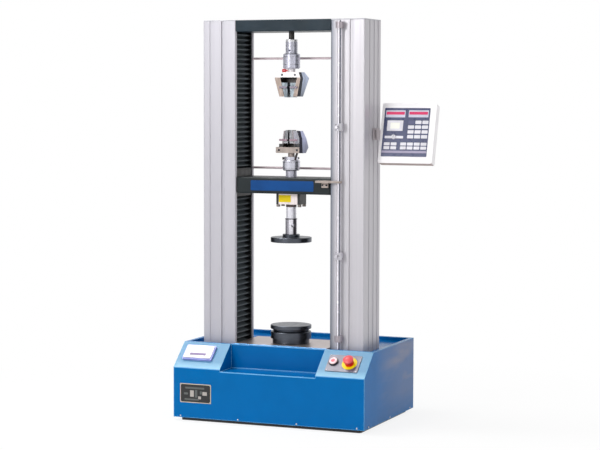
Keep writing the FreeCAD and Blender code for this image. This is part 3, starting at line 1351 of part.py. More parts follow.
def controller_case():
    """Keypad housing: rounded box with a shallow front recess, stepped back and its tilt pin."""
    face = TILT_Y - (TILT_Y - CASE_Y) * math.cos(math.radians(CASE_TILT))
    low, high = CASE_Z - CASE_HEIGHT / 2, CASE_Z + CASE_HEIGHT / 2
    right = CASE_LEFT + CASE_WIDTH
    body = box(CASE_LEFT, right, face, face + CASE_DEPTH, low, high)
    body = body.makeFillet(CASE_CORNER, edges_along(body, Y_AXIS))
    lip = CASE_BACK_LIP
    back = box(CASE_LEFT + lip, right - lip, face + CASE_DEPTH, face + CASE_DEPTH + CASE_BACK_STEP,
               low + lip, high - lip)
    recess = box(
        CASE_LEFT + MEMBRANE_LEFT,
        CASE_LEFT + MEMBRANE_LEFT + MEMBRANE_WIDTH,
        face - CUT,
        face + MEMBRANE_RECESS,
        high - MEMBRANE_TOP - MEMBRANE_HEIGHT,
        high - MEMBRANE_TOP,
    )
    socket_end = CASE_LEFT + TILT_PIN_REACH + APART
    socket = rod_x(TILT_PIN_RADIUS + RUNNING, CASE_LEFT - CUT, socket_end, TILT_Y, CASE_Z)
    return tilted(fused([body.cut(recess), back]).cut(socket))


def controller_bracket():
    """Wall plate on the column's side with two ears that hold the swivel pin."""
    low, high = CASE_Z - KNUCKLE_HEIGHT / 2, CASE_Z + KNUCKLE_HEIGHT / 2
    plate = box(COLUMN_OUTER, COLUMN_OUTER + BRACKET_THICKNESS, PIVOT_Y - BRACKET_DEPTH / 2,
                PIVOT_Y + BRACKET_DEPTH / 2, low, high)
    ears = []
    for z0 in (low, high - EAR_THICKNESS):
        z1 = z0 + EAR_THICKNESS
        ears.append(rod(KNUCKLE_RADIUS, z0, z1, PIVOT_X, PIVOT_Y))
        ears.append(box(COLUMN_OUTER + BRACKET_THICKNESS, PIVOT_X, PIVOT_Y - KNUCKLE_RADIUS,
                        PIVOT_Y + KNUCKLE_RADIUS, z0, z1))
    pin = rod(PIVOT_RADIUS, low, high, PIVOT_X, PIVOT_Y)
    return fused([plate] + ears + [pin])


def controller_leaf():
    """Swivel knuckle between the ears with an arm that ends in the case's tilt pin."""
    low = CASE_Z - KNUCKLE_HEIGHT / 2 + EAR_THICKNESS + APART
    high = CASE_Z + KNUCKLE_HEIGHT / 2 - EAR_THICKNESS - APART
    knuckle = rod(KNUCKLE_RADIUS, low, high, PIVOT_X, PIVOT_Y)
    right = CASE_LEFT - APART
    arm = box(right - LEAF_THICKNESS, right, PIVOT_Y, TILT_Y + KNUCKLE_RADIUS, low, high)
    link = box(PIVOT_X, right, PIVOT_Y - KNUCKLE_RADIUS / 2, PIVOT_Y + KNUCKLE_RADIUS, low, high)
    pin = rod_x(TILT_PIN_RADIUS, right - LEAF_THICKNESS, CASE_LEFT + TILT_PIN_REACH, TILT_Y, CASE_Z)
    bore = rod(PIVOT_RADIUS + RUNNING, low - CUT, high + CUT, PIVOT_X, PIVOT_Y)
    return fused([knuckle, arm, link, pin]).cut(bore)


def main():
    os.makedirs("parts", exist_ok=True)
    export("base_plate", base_plate())
    export("base_frame", base_frame())
    export("base_housing", base_housing())
    export("top_cover", top_cover())
    export("work_table", work_table())
    export("rear_panel", rear_panel())
    export("mains_inlet", mains_inlet())
    export("left_column", column(-1))
    export("right_column", column(1))
    export("column_caps", both_sides(column_cap()))
    export("top_beam", top_beam())
    export("tie_rods", tie_rods())
    export("guide_rods", both_sides(guide_rod()))
    export("screw_bearings", both_sides(lower_bearing()) + both_sides(upper_bearing()))
    export("left_ball_screw", ball_screw(-COLUMN_X))
    export("right_ball_screw", ball_screw(COLUMN_X))
    export("servo_motor", servo_motor())
    export("motor_shaft", motor_shaft())
    export("drive_belt", drive_belt())
    export("crosshead", crosshead())
    export("ball_nuts", both_sides(ball_nut()))
    export("guide_bushes", both_sides(guide_bush()))
    export("upper_bellows", both_sides(bellows(UPPER_BELLOWS_BOTTOM, TOP_BEAM_BOTTOM)))
    export("lower_bellows", both_sides(bellows(BEAM_TOP, LOWER_BELLOWS_TOP)))
    frames = both_sides(bellows_frame(CROSSHEAD_TOP, UPPER_BELLOWS_BOTTOM))
    frames += both_sides(bellows_frame(LOWER_BELLOWS_TOP, CROSSHEAD_BOTTOM))
    export("bellows_frames", frames)
    export("load_cell", load_cell())
    export("cell_side_plates", cell_side_plates())
    export("platen_spigot", platen_spigot())
    export("platen_sleeve", platen_sleeve())
    export("upper_platen", upper_platen())
    export("platen_base", platen_base())
    export("platen_seat", platen_seat())
    export("platen_disc", platen_disc())
    export("hanger_sleeve", hanger_sleeve())
    export("hanger_coupling", hanger_coupling())
    export("upper_grip_body", upper_grip_body())
    export("lower_grip_body", lower_grip_body())
    for name, grip in (("upper", UPPER_GRIP), ("lower", LOWER_GRIP)):
        export(name + "_jaw_left", grip.jaw(-1))
        export(name + "_jaw_right", grip.jaw(1))
        export(name + "_jaw_shaft", grip.shaft())
        export(name + "_grip_side_plate", grip.side_plate())
    export("lower_stem", lower_stem())
    export("lower_coupling", lower_coupling())
    export("limit_rod", limit_rod())
    for name, height in STOP_HEIGHTS.items():
        export(name, stop_collar(height))
    export("limit_guides", limit_guides())
    export("striker_arm", striker_arm())
    export("printer_body", printer_body())
    export("printer_door", printer_door())
    export("control_panel", control_panel())
    export("start_button", start_button())
    export("stop_button", stop_button())
    export("controller_bracket", controller_bracket())
    export("controller_leaf", controller_leaf())
    export("controller_case", controller_case())


main()
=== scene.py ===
"""Looks of the twin-column testing machine: materials, small pieces, lights and camera. Metres."""
import math

import bmesh
import bpy
from mathutils import Matrix, Vector


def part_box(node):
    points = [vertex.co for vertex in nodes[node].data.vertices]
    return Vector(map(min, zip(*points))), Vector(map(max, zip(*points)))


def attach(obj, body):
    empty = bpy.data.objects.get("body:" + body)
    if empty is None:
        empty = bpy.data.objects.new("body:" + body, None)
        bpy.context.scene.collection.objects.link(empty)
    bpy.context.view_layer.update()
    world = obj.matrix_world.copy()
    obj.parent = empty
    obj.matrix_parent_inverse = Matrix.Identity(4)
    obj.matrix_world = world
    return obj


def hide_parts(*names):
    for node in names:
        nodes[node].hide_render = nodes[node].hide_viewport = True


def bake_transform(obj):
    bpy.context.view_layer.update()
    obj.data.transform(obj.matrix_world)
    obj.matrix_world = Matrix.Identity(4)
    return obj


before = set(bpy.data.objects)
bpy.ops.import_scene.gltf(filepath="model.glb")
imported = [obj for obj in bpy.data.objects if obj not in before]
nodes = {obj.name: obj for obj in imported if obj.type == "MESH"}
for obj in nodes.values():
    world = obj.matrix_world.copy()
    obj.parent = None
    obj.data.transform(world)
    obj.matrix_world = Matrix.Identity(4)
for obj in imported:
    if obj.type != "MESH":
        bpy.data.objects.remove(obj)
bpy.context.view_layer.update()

# Bodies that the pieces ride on
BODY, CARRIAGE, CONTROLLER = "frame", "crosshead_carriage", "controller"

# Base: walls, and spots on the console slope given as x and length up from its foot
FRONT_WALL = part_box("base_housing")[0].y
REAR_WALL = 0.331
RIGHT_WALL = 0.400
TRAY_WALL = -0.132
COVER_TOP = 0.285
CONSOLE_FOOT = Vector((0, FRONT_WALL, 0.212))
SLOPE_UP = Vector((0, 0.100, 0.088)).normalized()
PANEL_PROUD = 0.003
STOP_SPOT = (0.321, 0.068)
START_SPOT = (0.255, 0.072)
PRINTER_X = -0.312

# Columns, crosshead and gripping strings
COLUMN_INNER = 0.200
BELLOWS_MOUTH = COLUMN_INNER + 0.003
SCREW_X, SCREW_Y = 0.270, -0.030
SCREW_LEAD = 0.010
MACHINE_TOP = 1.570
CROSSHEAD_FRONT = -0.084
CROSSHEAD_LOW, CROSSHEAD_HIGH = 0.893, 0.956
CELL_FLOOR = 0.840
GRIP_FRONT = -0.030
UPPER_POCKET, LOWER_POCKET, LOWER_CHEEK = 1.3465, 1.0743, 1.0875

# Controller case, which leans back about its tilt pin
TILT_PIN = Vector((0.362, 0.042, 1.128))
CASE_TILT = math.radians(15)
CASE_FACE = 0.042 - 0.018 * math.cos(CASE_TILT)
CASE_DEPTH = 0.042
PANEL_SHIFT = (0.0045, -0.0030)

# Values that several looks share
COAT_ROUGHNESS = 0.1
TONE_EDGE = 0.0005
PURE_WHITE = (1, 1, 1, 1)
VECTOR_MATH = "ShaderNodeVectorMath"


# Materials

def srgb(red, green, blue):
    """Linear colour of an 8-bit screen colour."""
    parts = []
    for c in (red, green, blue):
        c = c / 255
        parts.append(c / 12.92 if c <= 0.04045 else ((c + 0.055) / 1.055) ** 2.4)
    return (*parts, 1.0)


def darker(colour, share):
    return (*(c * share for c in colour[:3]), 1.0)


class Graph:
    """A node tree with short calls for the nodes that are added to it."""

    def __init__(self, tree):
        self.tree = tree

    def node(self, kind, **settings):
        made = self.tree.nodes.new(kind)
        for key, value in settings.items():
            setattr(made, key, value)
        return made

    def feed(self, value, socket):
        """Links an output to a socket, or sets the socket to a plain value."""
        if isinstance(value, bpy.types.NodeSocket):
            self.tree.links.new(value, socket)
        else:
            socket.default_value = value

    def math(self, operation, *values, kind="ShaderNodeMath"):
        made = self.node(kind, operation=operation)
        for value, socket in zip(values, made.inputs):
            self.feed(value, socket)
        return made.outputs["Value"]

    def times(self, a, b):
        return self.math("MULTIPLY", a, b)

    def either(self, a, b):
        return self.math("MAXIMUM", a, b)

    def ranged(self, value, low, high, out_low=0.0, out_high=1.0):
        made = self.node("ShaderNodeMapRange")
        limits = {"Value": value, "From Min": low, "From Max": high, "To Min": out_low, "To Max": out_high}
        for name, limit in limits.items():
            self.feed(limit, made.inputs[name])
        return made.outputs["Result"]

    def falling(self, value, low, high):
        """Falls from 1 to 0 between two values."""
        return self.ranged(value, low, high, 1.0, 0.0)

    def above(self, value, edge):
        """Rises from 0 to 1 where a value passes an edge."""
        return self.ranged(value, edge - TONE_EDGE, edge + TONE_EDGE)

    def below(self, value, edge, width=TONE_EDGE):
        """Falls from 1 to 0 where a value passes an edge."""
        return self.falling(value, edge - width, edge + width)

    def split(self, vector):
        made = self.node("ShaderNodeSeparateXYZ")
        self.feed(vector, made.inputs["Vector"])
        return [made.outputs[name] for name in "XYZ"]

    def mixed_shader(self, factor, a, b):
        made = self.node("ShaderNodeMixShader")
        for value, socket in zip((factor, a, b), made.inputs):
            self.feed(value, socket)
        return made.outputs["Shader"]


class Look(Graph):
    """A material, its shader and calls for what feeds it."""

    def __init__(self, name, roughness=0.4, metallic=0.0, specular=0.5, coat=0.0):
        self.material = bpy.data.materials.new(name)
        self.material.use_nodes = True
        super().__init__(self.material.node_tree)
        self.shader = self.tree.nodes["Principled BSDF"]
        self.shader.inputs["Metallic"].default_value = metallic
        self.shader.inputs["Roughness"].default_value = roughness
        self.shader.inputs["Specular IOR Level"].default_value = specular
        self.shader.inputs["Coat Weight"].default_value = coat
        self.shader.inputs["Coat Roughness"].default_value = COAT_ROUGHNESS
        coords = self.node("ShaderNodeTexCoord").outputs
        self.place = coords["Object"]
        self.x, self.y, self.z = self.split(coords["Object"])
        self.nx, self.ny, self.nz = self.split(coords["Normal"])

    def noise(self, scale, detail=3.0, factors=None, roughness=0.5):
        """Noise in the object's place, stretched along the axes where factors are given."""
        made = self.node("ShaderNodeTexNoise")
        made.inputs["Scale"].default_value = scale
        made.inputs["Detail"].default_value = detail
        made.inputs["Roughness"].default_value = roughness
        place = self.place
        if factors:
            mapping = self.node("ShaderNodeMapping")
            mapping.inputs["Scale"].default_value = factors
            self.feed(place, mapping.inputs["Vector"])
            place = mapping.outputs["Vector"]
        self.feed(place, made.inputs["Vector"])
        return made.outputs["Fac"]

    def mix(self, factor, a, b):
        made = self.node("ShaderNodeMix", data_type="RGBA")
        for value, name in ((factor, "Factor"), (a, "A"), (b, "B")):
            self.feed(value, made.inputs[name])
        return made.outputs["Result"]

    def patches(self, noise, light, shade, spread=0.15):
        """Two tones in soft patches that follow a noise."""
        return self.mix(self.ranged(noise, 0.5 - spread, 0.5 + spread), light, shade)

    def colour(self, value):
        self.feed(value, self.shader.inputs["Base Color"])
        return self

    def rough(self, value, low, high):
        """Roughness that follows a 0 to 1 value between two limits."""
        self.feed(self.ranged(value, 0.3, 0.7, low, high), self.shader.inputs["Roughness"])
        return self

    def softened(self, radius):
        """The surface normal, rounded off along edges."""
        bevel = self.node("ShaderNodeBevel", samples=4)
        bevel.inputs["Radius"].default_value = radius
        return bevel.outputs["Normal"]

    def bump(self, height, distance, strength=1.0, edge=0.0):
        """Relief from a height, over softened edges where edge is their radius."""
        made = self.node("ShaderNodeBump")
        made.inputs["Distance"].default_value = distance
        made.inputs["Strength"].default_value = strength
        self.feed(height, made.inputs["Height"])
        if edge:
            self.feed(self.softened(edge), made.inputs["Normal"])
        self.feed(made.outputs["Normal"], self.shader.inputs["Normal"])
        return self


def paint(name, base, shade, roughness=0.32, grain=900.0, relief=0.00004, edge=0.0008, specular=0.5):
    """Sprayed paint: faint mottling, fine orange peel and softened edges."""
    look = Look(name, roughness, specular=specular)
    look.colour(look.patches(look.noise(9.0, 4.0), base, shade))
    look.rough(look.noise(40.0, 3.0), roughness * 0.85, roughness * 1.2)
    return look.bump(look.noise(grain, 2.0), relief, 0.6, edge)


def metal(name, base, shade, roughness, stretch=(1, 1, 1), grain=300.0, relief=0.00002,
          edge=0.0005, metallic=1.0):
    """Bare metal with fine tool marks drawn out along one axis."""
    look = Look(name, roughness, metallic=metallic)
    marks = look.noise(grain, 4.0, stretch)
    look.colour(look.patches(marks, base, shade, 0.2))
    look.rough(look.noise(60.0, 3.0), roughness * 0.8, roughness * 1.25)
    return look.bump(marks, relief, 0.5, edge)


def plated(name, base, shade, roughness, metallic, stretch=(1, 1, 0.02), relief=0.000001):
    """Smooth plating drawn out upwards, on parts whose edges stay sharp."""
    return metal(name, base, shade, roughness, stretch, 260.0, relief, 0, metallic)


def plastic(name, base, roughness=0.4, grain=1500.0, relief=0.00003, coat=0.0, specular=0.5):
    """Moulded plastic with a fine spark-eroded texture."""
    look = Look(name, roughness, specular=specular, coat=coat)
    look.colour(look.patches(look.noise(18.0, 3.0), base, darker(base, 0.86)))
    look.rough(look.noise(70.0, 2.0), roughness * 0.85, roughness * 1.15)
    return look.bump(look.noise(grain, 2.0), relief, 0.6)


def case_look(name, base, under):
    """Pale moulded case whose underside is painted darker as painted shade."""
    look = Look(name, 0.38)
    # Painted shade: downward faces take the under colour.
    look.colour(look.mix(look.falling(look.nz, -0.9, -0.5), base, under))
    look.rough(look.noise(70.0, 2.0), 0.32, 0.44)
    return look.bump(look.noise(1500.0, 2.0), 0.00003, 0.6)


def housing_look(name, base, slope, foot, glint, wear_and_sheen):
    """Gloss paint with painted light: slopes painted pale and paler towards their foot as painted sheen,
    edges painted lighter as painted highlight, and pale streaks on the right side as painted reflection.
    """
    look = Look(name, 0.2, specular=0.07)
    tone = look.patches(look.noise(9.0, 4.0), base, darker(base, 0.93))
    # Painted sheen: faces tilted like the console slopes take a pale blue, paler still near their foot.
    tilted = look.times(look.ranged(look.nz, 0.4, 0.6), look.falling(look.nz, 0.85, 0.95))
    up_slope = look.ranged(look.z, CONSOLE_FOOT.z + 0.002, CONSOLE_FOOT.z + 0.024)
    tone = look.mix(tilted, tone, look.mix(up_slope, foot, slope))
    # Painted reflection: pale beige streaks on the right wall, fading out towards the front and the
    # bottom.
    streaks = look.ranged(look.noise(3.2, 3.0, (1, 0.8, 3.5), 0.5), 0.42, 0.68, 0.24, 0.68)
    reach = look.times(look.ranged(look.y, -0.12, 0.20), look.ranged(look.z, 0.02, 0.10))
    on_wall = look.ranged(look.x, RIGHT_WALL - 0.005, RIGHT_WALL - 0.001)
    side = look.times(look.ranged(look.nx, 0.8, 0.95), on_wall)
    tone = look.mix(look.times(side, look.times(streaks, reach)), tone, wear_and_sheen)
    # Painted highlight: along edges, where the rounded normal turns from the flat one, the colour goes
    # over to the glint.
    flat = look.node("ShaderNodeNewGeometry").outputs["Normal"]
    along = look.math("DOT_PRODUCT", look.softened(0.0045), flat, kind=VECTOR_MATH)
    look.colour(look.mix(look.ranged(along, 0.90, 0.995, 0.9, 0.0), tone, glint))
    look.rough(look.noise(40.0, 3.0), 0.17, 0.24)
    return look.bump(look.noise(900.0, 2.0), 0.00002, 0.6, 0.003)


def banded_look(name, low_look, high_look, height, roughness=0.3, metallic=0.6, shoulder=0.0):
    """One finish below a height and another above it, with a bright shoulder between them."""
    look = Look(name, roughness, metallic=metallic)
    marks = look.noise(500.0, 3.0, (1, 1, 0.1))
    above = look.above(look.z, height)
    shade = look.mix(above, low_look, high_look)
    dull = look.mix(above, darker(low_look, 0.8), darker(high_look, 0.8))
    tone = look.patches(marks, shade, dull, 0.2)
    if shoulder:
        rise = look.above(look.z, height - shoulder)
        tone = look.mix(look.times(rise, look.math("SUBTRACT", 1.0, above)), tone, srgb(252, 252, 255))
    look.colour(tone)
    look.rough(look.noise(60.0, 3.0), roughness * 0.85, roughness * 1.2)
    return look.bump(marks, 0.00001, 0.4, 0.0006)


def edged_look(name, face, edge, low, high):
    """Plate with dark edges towards the front, and flat sides painted darker low and lighter high as
    painted shade and highlight.
    """
    look = Look(name, 0.3, metallic=0.6)
    shade = look.patches(look.noise(34.0, 4.0, (1, 1, 0.35)), face, darker(face, 0.6))
    # Painted shade and highlight: the flat sides run from nearly the dark copy at the low height to the
    # full tone at the high one.
    side = look.mix(look.ranged(look.z, low, high, 0.1, 1.0), darker(face, 0.22), shade)
    frontal = look.ranged(look.math("ABSOLUTE", look.ny), 0.4, 0.6)
    look.colour(look.mix(frontal, side, edge))
    return look.bump(look.noise(700.0, 2.0), 0.00003, 0.5, 0.001)


def dot_look(name, node, radius, inner, outer):
    """Button on the console slope with a round spot in the middle."""
    look = Look(name, 0.34)
    low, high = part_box(node)
    middle = (low + high) / 2
    across = look.math("SUBTRACT", look.x, middle.x)
    back = look.times(look.math("SUBTRACT", look.y, middle.y), SLOPE_UP[1])
    rise = look.times(look.math("SUBTRACT", look.z, middle.z), SLOPE_UP[2])
    along = look.math("ADD", back, rise)
    away = look.math("SQRT", look.math("ADD", look.times(across, across), look.times(along, along)))
    look.colour(look.mix(look.ranged(away, radius * 0.9, radius * 1.1), inner, outer))
    return look.bump(look.noise(1500.0, 2.0), 0.00002, 0.5)


def grip_look(name, face, shade, pocket_shade, way, plate, deep, bands=(), right=None):
    """Grip body: plated outside, with the pocket's walls, web and floor in painted shade; bands are extra
    colours between two heights, and right is a painted highlight on right-facing faces.

    way is 1 where the pocket opens upwards and -1 where it opens downwards.
    """
    look = Look(name, 0.32, metallic=0.1)
    tone = look.patches(look.noise(70.0, 4.0, (1, 1, 0.4)), face, shade)
    for low, high, colour in bands:
        tone = look.mix(look.times(look.above(look.z, low), look.below(look.z, high)), tone, colour)
    # Painted highlight: right-facing faces above the lower cheek line take the right colour.
    if right:
        right_highlight = look.times(look.ranged(look.nx, 0.6, 0.8), look.above(look.z, LOWER_CHEEK))
        tone = look.mix(right_highlight, tone, right)
    # Painted shade: inward walls, the back web and the pocket floor take the pocket colour.
    height = look.times(look.z, way)
    walls = look.falling(look.times(look.x, look.nx), -0.010, -0.004)
    web = look.times(look.falling(look.ny, -0.6, -0.4), look.ranged(look.y, -0.025, -0.015))
    web = look.times(web, look.above(height, plate * way))
    facing_out = look.ranged(look.times(look.nz, way), 0.4, 0.6)
    floor = look.times(facing_out, look.below(height, deep * way, 0.002))
    look.colour(look.mix(look.either(look.either(walls, web), floor), tone, pocket_shade))
    look.rough(look.noise(60.0, 3.0), 0.27, 0.4)
    return look.bump(look.noise(700.0, 2.0), 0.00003, 0.6, 0.0008)


def coupling_look(name, plating, oiled):
    """Plated ring nut whose set screws and lever pin are blackened."""
    look = Look(name, 0.2, metallic=0.7)
    wide = look.math("SQRT", look.math("ADD", look.times(look.x, look.x), look.times(look.y, look.y)))
    outside = look.times(look.ranged(wide, 0.0273, 0.0276), look.ranged(look.z, 1.0233, 1.0236))
    top = look.ranged(look.z, 1.0363, 1.0366)
    look.colour(look.mix(look.either(outside, top), plating, oiled))
    look.rough(look.noise(60.0, 3.0), 0.17, 0.25)
    return look.bump(look.noise(260.0, 3.0), 0.000001, 0.3)


def jaw_look(name, light, shade, bar):
    """Hardened jaws with fine cross teeth in tone and browned cross bars in front."""
    look = Look(name, 0.3, metallic=0.7)
    marks = look.noise(420.0, 4.0, (1, 1, 0.15))
    wear_and_sheen = look.noise(55.0, 4.0, (1, 1, 0.6))
    tone = look.patches(marks, light, shade, 0.2)
    tone = look.mix(look.ranged(wear_and_sheen, 0.42, 0.62, 0.0, 0.7), tone, darker(shade, 0.35))
    look.colour(look.mix(look.falling(look.y, GRIP_FRONT - 0.0004, GRIP_FRONT), tone, bar))
    look.rough(wear_and_sheen, 0.24, 0.4)
    return look.bump(marks, 0.00002, 0.5, 0.0006)


def column_look(name, front, side, strip):
    """Satin anodised extrusion: vertical drawing lines and a shaded strip beside the limit rod."""
    look = Look(name, 0.42, metallic=0.35)
    streak = look.noise(140.0, 4.0, (1, 1, 0.01))
    tone = look.patches(streak, front, side, 0.2)
    tone = look.patches(look.noise(2.2, 3.0, (1, 1, 0.4)), tone, front)
    # Painted shade: a strip beside the limit rod takes the strip colour.
    look.colour(look.mix(look.falling(look.x, COLUMN_INNER, COLUMN_INNER + 0.026), tone, strip))
    look.rough(streak, 0.36, 0.48)
    return look.bump(streak, 0.00003, 0.5, 0.0006)


def turned_look(name, base, shade, roughness):
    """Lathe-turned metal: fine rings stacked along the load axis."""
    return metal(name, base, shade, roughness, (0.02, 0.02, 1.0), 1400.0)


def rod_look(name, middle, light, line, side):
    """Plated rod painted light on its left as a painted highlight, with a dark line and a grey band on its
    right as painted reflection.
    """
    look = Look(name, 0.25, metallic=0.25)
    # Painted highlight and reflection: colours follow the distance across the rod's middle.
    across = look.math("SUBTRACT", look.x, middle)
    tone = look.mix(look.ranged(across, 0.0012, 0.0024), light, line)
    look.colour(look.mix(look.ranged(across, 0.0040, 0.0050), tone, side))
    look.rough(look.noise(60.0, 3.0), 0.2, 0.3)
    return look.bump(look.noise(260.0, 3.0, (1, 1, 0.1)), 0.000001, 0.3)


def sleeve_look(name, left, middle, right):
    """Plated sleeve on the load axis, painted round its axis with grey, white and black upright bands as
    painted reflections.
    """
    look = Look(name, 0.28, metallic=0.5)
    # Painted reflections: the bands follow the angle round the load axis.
    turn = look.math("ARCTAN2", look.x, look.times(look.y, -1.0))
    tone = left
    for low, high, next_tone in ((-0.10, 0.15, middle), (0.62, 0.80, right), (1.42, 1.60, middle)):
        tone = look.mix(look.ranged(turn, low, high), tone, next_tone)
    look.colour(tone)
    look.rough(look.noise(60.0, 3.0), 0.22, 0.34)
    return look.bump(look.noise(260.0, 3.0, (1, 1, 0.1)), 0.000001, 0.3)


def screw_look():
    """Ball screw: a rolled thread drawn as a steep spiral of painted highlight and painted shade."""
    look = Look("ball_screw", 0.22, metallic=1.0)
    side = look.math("SUBTRACT", look.math("ABSOLUTE", look.x), SCREW_X)
    back = look.math("SUBTRACT", look.y, SCREW_Y)
    turn = look.math("DIVIDE", look.math("ARCTAN2", back, side), 2 * math.pi)
    phase = look.math("ADD", look.math("DIVIDE", look.z, SCREW_LEAD), turn)
    wave = look.math("SINE", look.times(phase, 2 * math.pi))
    # Painted highlight and shade: the wave runs from dark grooves to light crests.
    look.colour(look.mix(look.ranged(wave, -0.5, 0.6), srgb(70, 70, 74), srgb(196, 196, 200)))
    return look.bump(wave, 0.0006, 0.8)


def bellows_look():
    """Coated fabric: crests at the mouth painted light grey as painted highlight, valleys darker and the
    rear near black as painted shade.
    """
    look = Look("bellows_fabric", 0.62, specular=0.35)
    depth = look.math("SUBTRACT", look.math("ABSOLUTE", look.x), BELLOWS_MOUTH)
    # Painted highlight on the crests near the mouth; the valley greys are painted shade.
    crest = look.falling(depth, 0.001, 0.0045)
    weave = look.noise(1800.0, 2.0)
    valley = look.patches(weave, srgb(86, 94, 98), srgb(66, 74, 78), 0.2)
    wear_and_sheen = look.patches(look.noise(60.0, 3.0), srgb(146, 156, 162), srgb(110, 120, 126))
    main = look.mix(look.times(crest, 0.85), valley, wear_and_sheen)
    # Painted shade: the rear of the curtain is painted near black.
    look.colour(look.mix(look.ranged(look.y, 0.040, 0.046), main, srgb(22, 26, 28)))
    return look.bump(weave, 0.00006, 0.7)


def table_look():
    """Surface-ground steel: crossed grinding marks, a warm tint and a front edge painted light blue as a
    painted highlight, in the colour of the lit blue fold in front of it.
    """
    look = Look("ground_table", 0.34, metallic=0.85)
    along = look.noise(700.0, 3.0, (0.02, 1, 1))
    across = look.noise(500.0, 3.0, (1, 0.03, 1))
    tone = look.patches(along, srgb(196, 182, 180), srgb(166, 154, 154), 0.2)
    # Painted highlight: front-facing faces take a light blue.
    look.colour(look.mix(look.falling(look.ny, -0.5, -0.15), tone, srgb(84, 132, 178)))
    look.rough(across, 0.28, 0.42)
    return look.bump(along, 0.00002, 0.5, 0.0006)


def glow_look(name, base, light, strength):
    """A lit display behind a dark filter."""
    look = Look(name, 0.15, coat=0.6)
    look.colour(base)
    look.shader.inputs["Emission Color"].default_value = light
    look.shader.inputs["Emission Strength"].default_value = strength
    return look.bump(look.noise(900.0, 1.0), 0.00001, 0.3)


# Housing blue; the slope, foot and glint colours are painted sheen and highlight, the last a painted
# reflection on the right side.
BLUE = housing_look("blue_paint", srgb(0, 104, 172), srgb(98, 148, 183), srgb(134, 184, 212),
                    srgb(120, 190, 232), srgb(170, 156, 150))
# Painted highlight colour of the fold strips.
GLINT = paint("fold_highlight", srgb(96, 172, 222), srgb(84, 162, 216), 0.25, relief=0.00001, edge=0)
BLACK_PAINT = paint("black_paint", srgb(40, 40, 42), srgb(30, 30, 32), 0.45)
GREY_PAINT = paint("grey_primer", srgb(120, 122, 126), srgb(104, 106, 110), 0.5)
SLATE = paint("slate_paint", srgb(34, 50, 61), srgb(27, 41, 50), 0.36, specular=0.15)
CHARCOAL = paint("charcoal_paint", srgb(42, 48, 50), srgb(32, 38, 40), 0.4, specular=0.15)
CAP = paint("cap_paint", srgb(196, 196, 202), srgb(180, 180, 188), 0.42)
# The left column is a darker copy of the right one's aluminium as painted shade; the right column's last
# colour is a painted shade strip beside the limit rod.
SHADED_COLUMN_LEFT = column_look("left_aluminium_shaded", srgb(188, 186, 193), srgb(176, 174, 182), srgb(188, 186, 193))
COLUMN_RIGHT = column_look("right_aluminium", srgb(202, 199, 204), srgb(190, 188, 194), srgb(92, 100, 114))
STEEL = turned_look("bright_steel", srgb(206, 206, 210), srgb(178, 178, 184), 0.26)
ROD_STEEL = metal("ground_rod", srgb(240, 220, 226), srgb(228, 206, 212), 0.5, (0.05, 1, 1), 900.0,
                  0.000005, 0, 0.0)
CHROME = plated("plated_steel", srgb(220, 220, 234), srgb(210, 210, 226), 0.24, 0.45)
COUPLING = coupling_look("coupling_steel", srgb(226, 226, 238), srgb(74, 66, 68))
HANGER = banded_look("hanger_steel", srgb(214, 214, 228), srgb(62, 60, 58), 1.4955, 0.26, 0.45, 0.009)
SPIGOT = plated("spigot_steel", srgb(246, 245, 252), srgb(232, 231, 240), 0.3, 0.35)
# Grey, white and black painted reflection bands of the sleeve.
SLEEVE = sleeve_look("sleeve_steel", srgb(172, 170, 180), srgb(248, 246, 254), srgb(92, 88, 94))
rod_middle = sum(corner.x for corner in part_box("limit_rod")) / 2
# Painted highlight, dark reflection line and grey reflection band of the limit rod.
ROD = rod_look("limit_rod_plating", rod_middle, srgb(246, 244, 252), srgb(78, 74, 84), srgb(136, 140, 154))
GUIDE = plated("guide_nickel", srgb(184, 176, 182), srgb(164, 156, 162), 0.36, 0.6, (1, 1, 0.1), 0.000002)
NICKEL = plated("matt_nickel", srgb(212, 210, 216), srgb(194, 192, 200), 0.32, 0.7, (1, 1, 0.1), 0.000002)
BLACK_STEEL = turned_look("blackened_steel", srgb(72, 74, 80), srgb(52, 54, 60), 0.38)
PLATEN = turned_look("platen_steel", srgb(102, 106, 114), srgb(76, 80, 88), 0.34)
JAW = jaw_look("jaw_steel", srgb(168, 178, 184), srgb(110, 120, 130), srgb(120, 112, 124))
DARK_JAW = jaw_look("dark_jaw_steel", srgb(190, 190, 196), srgb(136, 138, 142), srgb(140, 120, 130))
# The third colour of each grip is painted shade in its pocket; the lower grip's last colour is a painted
# highlight on right-facing faces.
UPPER_GRIP = grip_look("upper_grip_plating", srgb(188, 168, 156), srgb(150, 132, 122), srgb(52, 42, 40),
                       -1, UPPER_POCKET, 1.300, [(UPPER_POCKET, 1.5, srgb(250, 246, 246))])
LOWER_GRIP = grip_look("lower_grip_plating", srgb(178, 164, 156), srgb(156, 144, 138), srgb(58, 50, 46),
                       1, LOWER_POCKET, 1.124,
                       [(LOWER_POCKET, LOWER_CHEEK, srgb(50, 46, 44)),
                        (LOWER_CHEEK, 1.2, srgb(150, 142, 146))], srgb(252, 250, 254))
GRIP = paint("grip_plating", srgb(178, 164, 156), srgb(158, 146, 140), 0.3, 700.0)
